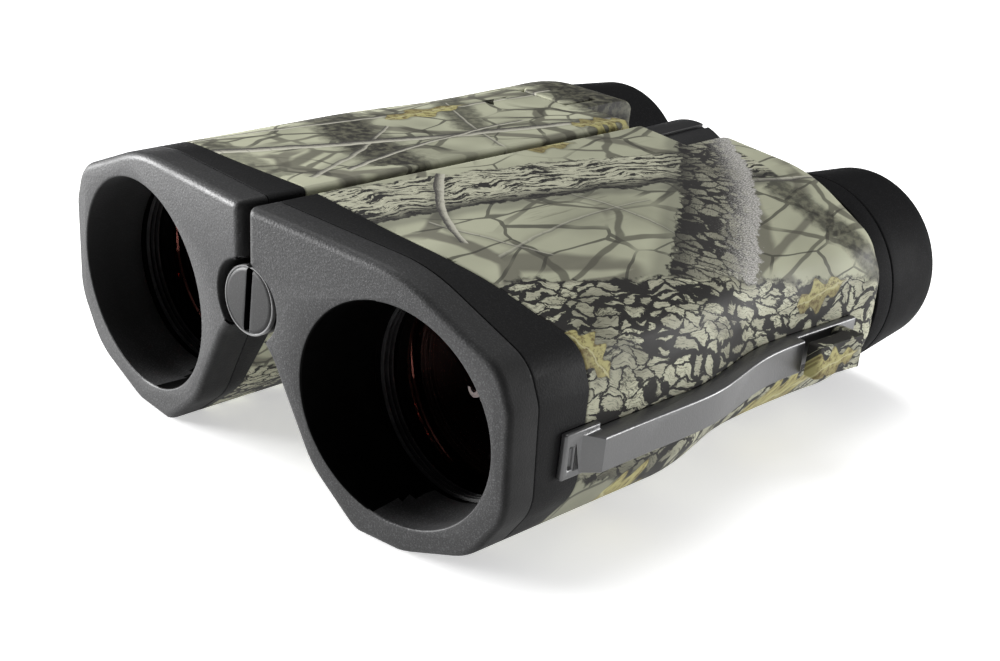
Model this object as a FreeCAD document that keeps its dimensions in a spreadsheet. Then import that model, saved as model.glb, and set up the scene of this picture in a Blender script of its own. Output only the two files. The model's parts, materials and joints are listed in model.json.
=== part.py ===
"""Laser rangefinder binocular: two telescope halves joined by a hinge, as an assembly of separate pieces.

Frame: millimetres, +Z up, objectives towards -Y, eyepieces towards +Y, +X towards the user's left half.
The origin is under the middle of the hinge, on the surface that the binocular rests on. Barrel axes run
along Y. Pieces named left_ belong to the +X half (the user's left), pieces named right_ to the -X half.
"""

import FreeCAD, Part
import math
import os
import Sketcher

SIZES = {
    # the two telescopes and the hinge between them
    "barrel_spacing": 73.2,      # between the two optical axes, halves spread wide
    "axis_height": 27.7,         # optical axes above the resting surface
    "hinge_rise": 10.4,          # hinge axis above the optical axes
    "front_shift": 76.15,        # from the front of the hinge line back to the origin
    # outline of one half, seen from the front
    "side_reach": 25.9,          # from an optical axis out to the shell's side
    "crown_out": 0.9,            # end of the flat top, outside the optical axis
    "crown_fall": 1.4,
    "shoulder_in": 2.7,          # shoulder's corner, inside the shell's side
    "shoulder_height": 16.5,
    "side_top": 10.0,
    "side_bottom": 11.0,
    "bilge_in": 7.3,             # lower outer corner
    "bilge_depth": 22.0,
    "keel_out": 1.9,             # ends of the flat underside, from the optical axis
    "keel_in": 8.6,
    "cheek_in": 20.0,            # lower inner corner, inside the optical axis
    "cheek_depth": 18.0,
    "throat_out": 6.9,           # corner under the hinge
    "throat_height": 1.0,
    "seam_foot": 8.0,            # lower end of the flat beside the slot
    "crown_height": 30.2,        # top edge at the slot, above the optical axes
    "slot_gap": 2.3,             # between the two halves at the top
    "shell_wall": 1.8,
    "foot_depth": 0.25,          # planed off the underside to make the flat it rests on
    "waist_inset": 4.9,          # how far the sides pull in behind the hands
    "rear_rise": 3.2,            # how far the underside climbs towards the eyepieces
    "rear_drop": 2.8,            # how far the top falls towards the eyepieces
    "straight_length": 58.0,     # front stretch of constant outline
    "housing_length": 128.5,     # from the hinge line's front to the rear face of the shells
    "rear_round": 6.0,           # length over which the rear end rounds off
    # front cap and collar
    "face_sweep": 6.6,           # degrees that the front face turns back towards its outer side
    "face_round": 1.6,           # rounding of the front face's outer edge
    "face_lean": 4.5,            # degrees that the front face leans forward at the top
    "cap_depth": 7.5,
    "collar_centre": 14.5,       # rear edge of the collar at the slot
    "collar_side": 28.6,         # rear edge of the collar at the outer side
    "hood_radius": 22.0,
    "hood_wall": 1.6,
    "hood_straight": 13.0,       # where the hood's bore starts to taper
    "hood_end": 20.0,
    "hood_end_radius": 20.6,
    # barrel casting
    "barrel_start": 20.3,
    "barrel_radius": 22.6,
    "lens_bore": 21.1,
    "lens_seat": 34.0,           # shoulder that the objective sits on
    "focus_bore": 20.0,
    "focus_bore_end": 66.0,
    "rear_tube_start": 70.0,
    "rear_tube_radius": 18.6,
    "rear_tube_bore": 17.2,
    "barrel_end": 112.0,
    # optics
    "fit": 0.06,                 # radial clearance of one piece in another
    "running_fit": 0.08,
    "gap": 0.3,                  # between pieces that move past each other
    "lens_edge": 6.0,
    "lens_bulge": 2.5,
    "lens_back": 0.8,
    "lens_rest": 0.12,           # a lens stands this far in front of its lip
    "retainer_length": 2.5,
    "retainer_bore": 19.9,
    "cage_start": 72.0,
    "cage_length": 32.0,
    "cage_floor": 2.0,
    "display_before": 2.8,       # display's front, ahead of the cage's end
    "prism_width": 21.0,
    "prism_length": 27.0,
    "prism_chamfer": 4.5,
    "focus_cell_start": 54.0,
    "focus_cell_length": 8.0,
    "focus_lens_radius": 15.0,
    "focus_lens_thickness": 3.5,
    "cell_lip": 1.2,
    "cell_shoulder": 1.0,
    "cell_lens_front": 0.9,
    "cell_lens_back": 0.6,
    "pin_root": 3.0,             # pin's foot, outside the focusing lens
    "slot_past": 6.0,            # end of the pin's slot, past the hinge axis
    "focus_travel": 3.0,
    "drive_pin_radius": 1.1,
    # eyepiece
    "eye_tube_radius": 16.5,
    "eye_tube_bore": 14.6,
    "eye_tube_start": 104.6,
    "eye_tube_past": 20.5,       # these lie behind the rear face of the shells
    "eye_lens_past": 11.5,
    "cup_past": 25.7,
    "glide_past": 22.1,
    "eye_bulge_front": 1.2,
    "eye_bulge_back": 0.8,
    "field_lens_start": 110.0,
    "field_lens_thickness": 5.0,
    "eye_lens_thickness": 6.0,
    "base_ring_length": 5.6,
    "base_ring_radius": 22.0,
    "cup_front_radius": 22.0,
    "cup_rear_radius": 20.15,
    "cup_bore": 19.0,
    "cup_lip_bore": 15.0,
    "cup_lip_thickness": 3.2,
    # hinge, battery and focusing drive
    "channel_radius": 10.5,      # room round the hinge inside the shells
    "channel_wall": 1.6,
    "recess_radius": 8.4,        # round the battery cap in the front face
    "hinge_tube_radius": 7.0,
    "battery_bore": 5.6,
    "battery_tube_start": 5.2,
    "battery_tube_end": 49.5,
    "knuckle_radius": 9.8,
    "front_knuckle_start": 20.6,
    "front_knuckle_length": 11.0,
    "rear_knuckle_start": 70.0,
    "rear_knuckle_length": 10.0,
    "arm_height": 7.0,
    "arm_low": 1.6,              # above the optical axes
    "arm_start": 5.0,            # from the hinge plane
    "arm_short": 13.6,           # arm's end, inside the optical axis
    "cell_radius": 5.2,
    "cell_length": 28.0,
    "cell_start": 10.6,
    "tube_floor": 1.6,
    "contact_foot_radius": 5.2,
    "contact_tip_radius": 2.4,
    "contact_sheet": 0.4,        # dished contact between the cell and the tube's floor
    "battery_cap_radius": 6.95,
    "battery_cap_front": 0.6,
    "coin_slot_width": 1.6,
    "coin_slot_depth": 1.8,
    "cap_dome": 1.3,
    "cap_short": 0.2,            # between the cap's spigot and the cell
    "seal_seat": 0.15,           # on each side of the seal
    "seal_thickness": 0.9,
    "bush_start": 67.0,
    "spindle_radius": 2.5,
    "spindle_start": 50.2,
    "yoke_radius": 8.6,
    "yoke_groove_radius": 5.6,
    "wheel_radius": 14.0,
    "wheel_before": 15.9,        # front of the wheel, ahead of the rear face
    "wheel_length": 22.4,
    "notch_room": 1.6,           # ahead of the wheel
    "bush_short": 2.6,           # end of the bush, ahead of the wheel
    "hub_cover": 3.0,            # hub left behind the spindle's end
    "grip_thickness": 1.5,
    "wheel_rib_count": 9,
    "wheel_rib_width": 1.4,
    "wheel_rib_depth": 0.7,
    "wheel_room": 0.9,
    # strap bars, lugs
    "bar_thickness": 4.0,
    "bar_height": 7.4,
    "bar_top": 1.4,              # above the optical axes
    "bar_plate_start": 20.6,
    "bar_plate_length": 9.6,
    "bar_plate_thickness": 1.5,
    "bar_ramp_start": 4.5,       # behind the plate's front, where the bar rises from it
    "bar_ramp_slope": 1.5,
    "bar_plate_height": 9.4,
    "lug_before": 30.5,          # front of the lug, ahead of the rear face
    "bar_before": 10.5,          # end of the bar, ahead of the rear face
    "bar_seat": 1.5,             # how far the bands reach inwards before the shell trims them
    "bar_overhang": 0.4,         # front plate and lug below the bar's lower edge
    "tail_gap": 0.2,             # between the bar's tail and the strap slot
    "lug_foot_gap": 0.05,        # between the lug's foot and the tail
    "grip_first": 1.5,           # finger grooves of the front plate
    "grip_pitch": 1.9,
    "grip_width": 1.0,
    "grip_height": 4.4,
    "grip_depth": 0.7,
    "grip_low": 1.6,
    "lug_length": 14.5,
    "lug_height": 7.6,
    "lug_thickness": 3.6,
    "lug_slot": 2.6,             # strap slot between the bar's end and the lug
    "lug_foot": 3.4,
    "screw_radius": 1.2,
    "screw_out": 1.2,            # shank's end, outside the shell's side
    "screw_short": 0.1,          # shank's other end, before the wall's inside
    "screw_front": 8.2,          # from the front plate's edge
    "screw_rear": 2.6,           # from the bar's end
    # buttons and electronics
    "range_button_before": 15.0, # button centres, ahead of the rear face
    "mode_button_before": 31.5,
    "button_in": 11.1,           # button centres, inside the optical axis
    "range_button_length": 10.0,
    "range_button_width": 14.0,
    "mode_button_length": 7.0,
    "button_top": 27.1,
    "button_thickness": 2.0,
    "button_round": 2.5,
    "board_height": 22.7,
    "board_thickness": 1.0,
    "board_width": 16.0,
    "board_start": 64.0,
    "board_before": 8.5,         # end of the boards, ahead of the rear face
    "board_in": 19.1,            # inner edge, inside the optical axis
    "switch_width": 4.0,
    "switch_height": 0.6,
    "port_radius": 2.5,
    "port_place": 84.0,
    "port_length": 5.5,
    "display_thickness": 1.2,
    "can_sink": 0.4,             # how far the diode and the receiver stand into the cage
    "yoke_short": 0.8,
    "yoke_side_gap": 0.1,
}
# corners of the outline, from the slot round over the top and the outer side
CORNER_RADII = (1.2, 32.0, 9.0, 8.0, 12.0, 14.0, 18.0, 7.0, 18.0, 12.0, 3.5)
# collar's rear edge: distance from the hinge plane, and share of the way from centre to side
COLLAR_LINE = (
    (-2, 0.0), (14, 0.0), (28, 0.01), (37, 0.1), (45, 0.38), (53, 0.63), (60, 0.85), (66, 0.97), (75, 1.0))
# sizes that follow from others
DERIVED = {
    "half_width": "barrel_spacing / 2 + side_reach",
    "eye_tube_end": "housing_length + eye_tube_past",
    "eye_lens_start": "housing_length + eye_lens_past",
    "base_ring_start": "housing_length + gap",
    "cup_end": "housing_length + cup_past",
    "glide_end": "housing_length + glide_past",
    "wheel_start": "housing_length - wheel_before",
    "wheel_end": "wheel_start + wheel_length",
    "notch_start": "wheel_start - notch_room",
    "bush_end": "wheel_start - bush_short",
    "lug_start": "housing_length - lug_before",
    "bar_end": "housing_length - bar_before",
    "range_button_place": "housing_length - range_button_before",
    "mode_button_place": "housing_length - mode_button_before",
    "button_inset": "barrel_spacing / 2 - button_in",
    "board_length": "housing_length - board_before - board_start",
    "board_inset": "barrel_spacing / 2 - board_in",
    "arm_length": "barrel_spacing / 2 - arm_short - arm_start",
}

doc = FreeCAD.newDocument("LaserRangefinder")
sheet = doc.addObject("Spreadsheet::Sheet", "Sizes")
for row, (alias, value) in enumerate(SIZES.items(), start=1):
    sheet.set(f"A{row}", alias)
    sheet.set(f"B{row}", str(value))
    sheet.setAlias(f"B{row}", alias)
doc.recompute()
for row, (alias, formula) in enumerate(DERIVED.items(), start=len(SIZES) + 1):
    sheet.set(f"A{row}", alias)
    sheet.set(f"B{row}", f"={formula}")
    sheet.setAlias(f"B{row}", alias)
    doc.recompute()


def size(alias):
    """The sheet's value for one alias."""
    return float(sheet.get(alias))


V = FreeCAD.Vector
ALONG_Y = FreeCAD.Rotation(V(1, 0, 0), -90)
SIDES = {"left": 1, "right": -1}
parts = []


def keep(obj, label):
    """Names a finished sub-part and lists it for export."""
    obj.Label = label
    parts.append(obj)
    return obj


def expr(text):
    """Expands bare aliases, written as {alias}, to references into the sheet."""
    return text.replace("{", "Sizes.").replace("}", "")


def place(obj, x, y, z, rotation=ALONG_Y):
    """Puts an object where three sheet expressions say; y and z count from the hinge line's front and the
    optical axes."""
    obj.Placement = FreeCAD.Placement(V(0, 0, 0), rotation)
    obj.setExpression("Placement.Base.x", expr(x))
    obj.setExpression("Placement.Base.y", expr(f"({y}) - {{front_shift}}"))
    obj.setExpression("Placement.Base.z", expr(f"({z}) + {{axis_height}}"))


def barrel_x(side):
    return f"{SIDES[side]} * {{barrel_spacing}} / 2"


def cylinder(name, radius, start, end, x="0", z="0"):
    """A cylinder along Y between two sheet expressions."""
    obj = doc.addObject("Part::Cylinder", name)
    obj.setExpression("Radius", expr(radius))
    obj.setExpression("Height", expr(f"({end}) - ({start})"))
    place(obj, x, start, z)
    return obj


def cone(name, radius_start, radius_end, start, end, x="0", z="0"):
    """A cone along Y between two sheet expressions."""
    obj = doc.addObject("Part::Cone", name)
    obj.setExpression("Radius1", expr(radius_start))
    obj.setExpression("Radius2", expr(radius_end))
    obj.setExpression("Height", expr(f"({end}) - ({start})"))
    place(obj, x, start, z)
    return obj


def block(name, x, y, z, dx, dy, dz):
    """A box from its low corner and its three lengths, all sheet expressions."""
    obj = doc.addObject("Part::Box", name)
    obj.setExpression("Length", expr(dx))
    obj.setExpression("Width", expr(dy))
    obj.setExpression("Height", expr(dz))
    place(obj, x, y, z, FreeCAD.Rotation())
    return obj


def cut(name, base, *tools):
    """Base less each tool, as a chain of Part::Cut."""
    for number, tool in enumerate(tools):
        obj = doc.addObject("Part::Cut", f"{name}_cut{number}")
        obj.Base = base
        obj.Tool = tool
        base = obj
    return base


def fuse(name, *shapes):
    """All shapes joined, as one Part::MultiFuse."""
    obj = doc.addObject("Part::MultiFuse", f"{name}_fuse")
    obj.Shapes = list(shapes)
    obj.Refine = True
    return obj


def ring(label, outer, inner, start, end, x="0", z="0"):
    """A plain ring or tube along Y."""
    outside = cylinder(f"{label}_outside", outer, start, end, x, z)
    inside = cylinder(f"{label}_inside", inner, f"({start}) - 1", f"({end}) + 1", x, z)
    return keep(cut(label, outside, inside), label)


def shape_part(label, shape):
    """A sub-part whose form is made with Part's own functions."""
    obj = doc.addObject("Part::Feature", f"{label}_shape")
    obj.Shape = shape
    obj.Placement = FreeCAD.Placement(V(0, -size("front_shift"), size("axis_height")), FreeCAD.Rotation())
    return keep(obj, label)


# ---------------------------------------------------------------- outline of one half


def rounded_wire(corners, y):
    """A closed wire at depth y through (x, z, radius) corners, each corner an arc."""
    points = [V(x, y, z) for x, z, _ in corners]
    count = len(points)
    edges = []
    ends = []
    for i, (_, _, radius) in enumerate(corners):
        back = (points[i - 1] - points[i]).normalize()
        ahead = (points[(i + 1) % count] - points[i]).normalize()
        half = back.getAngle(ahead) / 2
        reach = radius / math.tan(half)
        first = points[i] + back * reach
        last = points[i] + ahead * reach
        bisector = (back + ahead).normalize()
        middle = points[i] + bisector * (radius / math.sin(half) - radius)
        ends.append((first, middle, last))
    for i, (first, middle, last) in enumerate(ends):
        edges.append(Part.Arc(first, middle, last).toShape())
        edges.append(Part.makeLine(last, ends[(i + 1) % count][0]))
    return Part.Wire(edges)


def inset(corners, distance):
    """The same corners moved inwards by a distance, for the inside of a wall."""
    count = len(corners)
    moved = []
    for i, (x, z, radius) in enumerate(corners):
        before = corners[i - 1]
        after = corners[(i + 1) % count]
        into = V(x - before[0], 0, z - before[1]).normalize()
        out = V(after[0] - x, 0, after[1] - z).normalize()
        inward_in = V(into.z, 0, -into.x)
        inward_out = V(out.z, 0, -out.x)
        turn = into.x * out.z - into.z * out.x
        bisector = (inward_in + inward_out).normalize()
        scale = distance / bisector.dot(inward_in)
        grown = radius - distance if turn < 0 else radius + distance
        moved.append((x + bisector.x * scale, z + bisector.z * scale, max(grown, 0.4)))
    return moved


def outline(y, back=0.0, narrow=0.0, lift=0.0, close=0.0):
    """Corners of one half's outline at depth y. Back runs from 0 at the hands' front to 1 at the waist and
    behind it, narrow scales the waist's inset, lift the rise of the underside, and close pulls everything
    in where the rear face rounds off. The top falls evenly all the way."""
    side = size("half_width") - size("waist_inset") * narrow - close * 0.4
    top = size("crown_height") - size("rear_drop") * y / size("housing_length")
    low = -size("axis_height") - size("foot_depth") + (size("rear_rise") + size("foot_depth")) * lift
    seam = size("slot_gap") / 2
    axis = size("barrel_spacing") / 2
    points = [
        (seam, top - close),
        (axis + size("crown_out"), top - size("crown_fall") - close),
        (side - size("shoulder_in") - close, size("shoulder_height") + 1.4 * (1 - back) - close * 0.5),
        (side, size("side_top") - back - close * 0.3),
        (side, -size("side_bottom") + 2.0 * back + close * 0.3),
        (side - size("bilge_in") - close * 0.4, -size("bilge_depth") + 2.6 * lift + close * 0.6),
        (axis + size("keel_out") + 1.5 * lift, low + close * 0.8),
        (axis - size("keel_in") + 1.5 * lift + close, low + close * 0.8),
        (axis - size("cheek_in") + 1.6 * back + close, -size("cheek_depth") + 2.0 * back + close * 0.4),
        (size("throat_out") + back + close, size("throat_height")),
        (seam, size("seam_foot")),
    ]
    return [(x, z, radius) for (x, z), radius in zip(points, CORNER_RADII)]


def eased(share):
    """0 to 1 with a level start and end."""
    share = min(max(share, 0.0), 1.0)
    return share * share * (3 - 2 * share)


def stations():
    """(depth, corners) along the half: straight in the hands, a waist, and a rounded rear end."""
    straight = size("straight_length")
    end = size("housing_length")
    waist = straight + (end - straight) * 0.45
    steps = 5
    depths = [-8.0, straight * 0.2, straight * 0.5, straight * 0.8]
    depths += [straight + (waist - straight) * k / steps for k in range(steps + 1)]
    depths += [waist + (end - waist) * share for share in (0.3, 0.55, 0.75, 0.88, 0.96, 1.0)]
    listed = []
    for y in depths:
        back = eased((y - straight) / (waist - straight))
        flare = eased((y - waist) / (end - waist))
        lift = eased((y - straight - 6) / (end - straight - 20))
        rounding = max(y - (end - size("rear_round")), 0.0) / size("rear_round")
        close = size("rear_round") * (1 - math.sqrt(1 - min(rounding, 0.995) ** 2)) * 0.5
        listed.append((y, outline(y, back, back - 0.3 * flare, lift, close)))
    return listed


def half_form(sections):
    """Solid through the sections: straight up to the waist, lofted from there."""
    straight = size("straight_length")
    wires = [rounded_wire(corners, y) for y, corners in sections if y > straight - 0.01]
    front = Part.makeLoft([rounded_wire(sections[0][1], sections[0][0]), wires[0]], True, True)
    return front.fuse(Part.makeLoft(wires, True, False))


def barrel_cylinder(radius, start, end):
    return Part.makeCylinder(radius, end - start, V(size("barrel_spacing") / 2, start, 0), V(0, 1, 0))


def hinge_cylinder(radius, start, end):
    return Part.makeCylinder(radius, end - start, V(0, start, size("hinge_rise")), V(0, 1, 0))


def slab(near, far):
    """Everything between two planes parallel to the swept and leaning front face."""
    sweep = math.tan(math.radians(size("face_sweep")))
    lean = math.tan(math.radians(size("face_lean")))
    reach = 90.0
    faces = []
    for x, z in ((-5, -reach), (reach, -reach), (reach, reach), (-5, reach)):
        faces.append(V(x, sweep * x - lean * z, z))
    plate = Part.Face(Part.makePolygon(faces + [faces[0]]))
    plate.translate(V(0, near, 0))
    return plate.extrude(V(0, far - near, 0))


def on_front_face(point):
    """Whether a point lies in the plane of the front face."""
    sweep = math.tan(math.radians(size("face_sweep")))
    lean = math.tan(math.radians(size("face_lean")))
    return abs(point.y - sweep * point.x + lean * point.z) < 0.01


def collar_block():
    """Everything in front of the collar's rear edge, which bows forward towards the slot."""
    centre = size("collar_centre")
    side = size("collar_side")
    step = side - centre
    curve = Part.BSplineCurve()
    curve.interpolate([V(x, centre + step * share, -60) for x, share in COLLAR_LINE])
    rear = curve.toShape()
    first = rear.Vertexes[0].Point
    last = rear.Vertexes[-1].Point
    front = [last, V(last.x, -30, -60), V(first.x, -30, -60), first]
    wire = Part.Wire([rear] + Part.makePolygon(front).Edges)
    return Part.Face(wire).extrude(V(0, 0, 120))


END = size("housing_length")
WALL = size("shell_wall")
floor_block = Part.makeBox(160, 300, 20, V(-10, -60, -size("axis_height") - 20))
outer_form = half_form(stations()).cut(floor_block)
inner_sections = [(y, inset(corners, WALL)) for y, corners in stations()]
inner_sections[-1] = (END - WALL, inner_sections[-1][1])
inner_form = half_form(inner_sections)
in_front_of_collar = collar_block()
channel = hinge_cylinder(size("channel_radius"), -20, size("notch_start"))
notch_half = size("wheel_radius") + size("wheel_room")
wheel_notch = hinge_cylinder(notch_half, size("notch_start"), END + 10)
notch_above = Part.makeBox(notch_half, 60, 60, V(0, size("notch_start"), size("hinge_rise")))


def arm_window(side_start, length):
    """Opening for one knuckle's arm in the wall round the hinge."""
    gap = size("gap")
    height = size("arm_height") + 2 * gap
    corner = V(size("arm_start") - 1, side_start - gap, size("arm_low") - gap)
    return Part.makeBox(size("arm_length"), length + 2 * gap, height, corner)


def drive_direction():
    """From the barrel axis towards the hinge axis, for a half on +X."""
    return V(-size("barrel_spacing") / 2, 0, size("hinge_rise")).normalize()


def drive_slot(width):
    """Slot for the focusing pin along its travel, from the barrel to the hinge."""
    travel = size("focus_travel")
    middle = size("focus_cell_start") + size("focus_cell_length") / 2
    start = middle - travel - size("drive_pin_radius") - size("gap")
    end = middle + travel + size("drive_pin_radius") + size("gap")
    reach = math.hypot(size("barrel_spacing") / 2, size("hinge_rise")) + size("slot_past")
    slot = Part.makeBox(reach, end - start, width, V(0, start, -width / 2))
    angle = math.degrees(math.atan2(size("hinge_rise"), size("barrel_spacing") / 2))
    slot.rotate(V(0, 0, 0), V(0, 1, 0), 180 + angle)
    slot.translate(V(size("barrel_spacing") / 2, 0, 0))
    return slot


def knuckle_starts(side):
    """Front and rear knuckle places of one half; the other half's knuckles sit just behind."""
    offset = 0 if side == "left" else 1
    step = size("gap")
    return (
        (size("front_knuckle_start") + offset * (size("front_knuckle_length") + step),
         size("front_knuckle_length")),
        (size("rear_knuckle_start") + offset * (size("rear_knuckle_length") + step),
         size("rear_knuckle_length")),
    )


def mirrored(shape, side):
    if SIDES[side] > 0:
        return shape
    return shape.mirror(V(0, 0, 0), V(1, 0, 0))


def front_cap():
    """Front face with the objective's opening, and the hood that leads back to the lens."""
    plate = outer_form.common(slab(0, size("cap_depth")))
    rim = [edge for edge in plate.Edges if all(on_front_face(vertex.Point) for vertex in edge.Vertexes)]
    plate = plate.makeFillet(size("face_round"), rim)
    plate = plate.cut(hinge_cylinder(size("recess_radius"), -20, 30))
    hood = barrel_cylinder(size("hood_radius") + size("hood_wall"), 3.0, size("hood_end"))
    cap = plate.fuse(hood.common(slab(0.5, 60)))
    cap = cap.cut(barrel_cylinder(size("hood_radius"), -20, size("hood_straight")))
    taper = Part.makeCone(
        size("hood_radius"), size("hood_end_radius"), size("hood_end") - size("hood_straight"),
        V(size("barrel_spacing") / 2, size("hood_straight"), 0), V(0, 1, 0))
    return cap.cut(taper).removeSplitter()


def collar():
    """Black band between the front cap and the printed shell."""
    shell = outer_form.cut(inner_form).common(in_front_of_collar)
    shell = shell.common(slab(size("cap_depth"), 90))
    wall = hinge_cylinder(size("channel_radius") + size("channel_wall"), -20, 60)
    wall = wall.common(outer_form).common(in_front_of_collar).common(slab(size("cap_depth"), 90))
    band = shell.fuse(wall).cut(channel)
    band = band.cut(barrel_cylinder(size("hood_radius") + size("hood_wall") + size("fit"), -20, 40))
    for y in screw_places():
        band = band.cut(screw(y, size("fit")))
    return band.removeSplitter()


def housing(side):
    """Printed shell of one half, closed at the rear round the eyepiece tube."""
    shell = outer_form.cut(inner_form)
    lining_wall = size("channel_wall")
    wall = hinge_cylinder(size("channel_radius") + lining_wall, -20, size("notch_start"))
    notch_wall = hinge_cylinder(notch_half + lining_wall, size("notch_start") - lining_wall, END)
    wheel_side = Part.makeBox(
        notch_half + lining_wall, END, 60, V(0, size("notch_start") - lining_wall, size("hinge_rise")))
    lining = outer_form.common(wall.fuse(notch_wall).fuse(wheel_side))
    shell = shell.fuse(lining).cut(channel).cut(wheel_notch).cut(notch_above)
    shell = shell.cut(in_front_of_collar)
    room = size("fit")
    shell = shell.cut(barrel_cylinder(size("barrel_radius") + room, 0, size("rear_tube_start")))
    shell = shell.cut(barrel_cylinder(size("rear_tube_radius") + room, 0, size("barrel_end") + size("gap")))
    shell = shell.cut(barrel_cylinder(size("eye_tube_radius") + room, 0, END + 20))
    for start, length in knuckle_starts(side):
        shell = shell.cut(arm_window(start, length))
    shell = shell.cut(drive_slot(2 * size("drive_pin_radius") + 2 * size("gap")))
    for y in screw_places():
        shell = shell.cut(screw(y, size("fit")))
    if side == "right":
        for key, length in button_sizes().items():
            shell = shell.cut(button_hole(key, length))
    return largest(shell.removeSplitter())


def largest(shape):
    """The main solid, without slivers that a window left loose."""
    return max(shape.Solids, key=lambda solid: solid.Volume)


def button_sizes():
    return {
        "range": (size("range_button_width"), size("range_button_length")),
        "mode": (size("mode_button_length"), size("mode_button_length")),
    }


def button_hole(key, lengths):
    """Rectangular opening for one button, with its running gap."""
    gap = size("gap")
    width, length = lengths
    base = V(size("button_inset") - width / 2 - gap, size(f"{key}_button_place") - length / 2 - gap, 20)
    return Part.makeBox(width + 2 * gap, length + 2 * gap, 20, base)


def barrel(side):
    """Cast telescope tube with its two hinge knuckles."""
    tube = barrel_cylinder(size("barrel_radius"), size("barrel_start"), size("focus_bore_end"))
    taper = Part.makeCone(
        size("barrel_radius"), size("rear_tube_radius"), size("rear_tube_start") - size("focus_bore_end"),
        V(size("barrel_spacing") / 2, size("focus_bore_end"), 0), V(0, 1, 0))
    tube = tube.fuse(taper)
    tube = tube.fuse(barrel_cylinder(size("rear_tube_radius"), size("rear_tube_start"), size("barrel_end")))
    for start, length in knuckle_starts(side):
        arm = Part.makeBox(size("arm_length"), length, size("arm_height"),
                           V(size("arm_start"), start, size("arm_low")))
        tube = tube.fuse(arm).fuse(hinge_cylinder(size("knuckle_radius"), start, start + length))
    tube = tube.cut(barrel_cylinder(size("lens_bore"), 0, size("lens_seat")))
    tube = tube.cut(barrel_cylinder(size("focus_bore"), 0, size("focus_bore_end")))
    tube = tube.cut(barrel_cylinder(size("rear_tube_bore"), 0, size("barrel_end") + 1))
    clearance = size("fit") if side == "left" else size("running_fit")
    tube = tube.cut(hinge_cylinder(size("hinge_tube_radius") + clearance, 0, END))
    tube = tube.cut(drive_slot(2 * size("drive_pin_radius") + 2 * size("gap")))
    port = Part.makeCylinder(size("port_radius") + size("fit"), 20, V(
        size("barrel_spacing") / 2, size("port_place"), 10), V(0, 0, 1))
    return tube.cut(port).removeSplitter()


def focus_cell():
    """Sliding cell of the focusing lens, with the pin that the yoke drives."""
    start = size("focus_cell_start")
    length = size("focus_cell_length")
    cell = barrel_cylinder(size("focus_bore") - size("running_fit"), start, start + length)
    lens_radius = size("focus_lens_radius")
    cell = cell.cut(barrel_cylinder(lens_radius + size("fit"), start - 1, start + length - size("cell_lip")))
    cell = cell.cut(barrel_cylinder(lens_radius - size("cell_shoulder"), start - 1, start + length + 1))
    direction = drive_direction()
    distance = math.hypot(size("barrel_spacing") / 2, size("hinge_rise"))
    root = lens_radius + size("pin_root")
    reach = distance - size("yoke_groove_radius") - size("gap") - root
    foot = V(size("barrel_spacing") / 2, start + length / 2, 0) + direction * root
    pin = Part.makeCylinder(size("drive_pin_radius"), reach, foot, direction)
    return cell.fuse(pin).removeSplitter()


def arc_drop(radius, bulge):
    """How far a dome of this bulge has fallen from its crown at half its radius."""
    sphere = (radius ** 2 + bulge ** 2) / (2 * bulge)
    return sphere - math.sqrt(sphere ** 2 - radius ** 2 / 4)


def lens(radius, edge, bulge_front, bulge_rear, start):
    """A glass with two domed faces, its edge starting at a depth."""
    end = start + edge
    x = size("barrel_spacing") / 2
    corners = [V(x, start - bulge_front, 0), V(x + radius, start, 0), V(x + radius, end, 0),
               V(x, end + bulge_rear, 0)]
    front_middle = V(x + radius / 2, start - bulge_front + arc_drop(radius, bulge_front), 0)
    rear_middle = V(x + radius / 2, end + bulge_rear - arc_drop(radius, bulge_rear), 0)
    profile = Part.Wire([
        Part.Arc(corners[0], front_middle, corners[1]).toShape(),
        Part.makeLine(corners[1], corners[2]),
        Part.Arc(corners[2], rear_middle, corners[3]).toShape(),
        Part.makeLine(corners[3], corners[0]),
    ])
    return Part.Face(profile).revolve(V(x, 0, 0), V(0, 1, 0), 360)


def side_curve(offset):
    """The half's outer side at bar height, moved outwards, from the front plate to the bar's end."""
    points = []
    for y, corners in stations():
        points.append(V(corners[3][0] + offset, y, 0))
    curve = Part.BSplineCurve()
    curve.interpolate(points)
    return curve


def bar_band(low, high, near, far, first, last):
    """A strip that follows the shell's side, between two offsets from it."""
    inner = side_curve(near).toShape()
    outer = side_curve(far).toShape()
    inner_ends = [inner.Vertexes[0].Point, inner.Vertexes[-1].Point]
    outer_ends = [outer.Vertexes[0].Point, outer.Vertexes[-1].Point]
    wire = Part.Wire([inner, Part.makeLine(inner_ends[1], outer_ends[1]), outer,
                      Part.makeLine(outer_ends[0], inner_ends[0])])
    band = Part.Face(wire).extrude(V(0, 0, high - low))
    band.translate(V(0, 0, low))
    window = Part.makeBox(40, last - first, high - low + 2, V(40, first, low - 1))
    return band.common(window)


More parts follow.
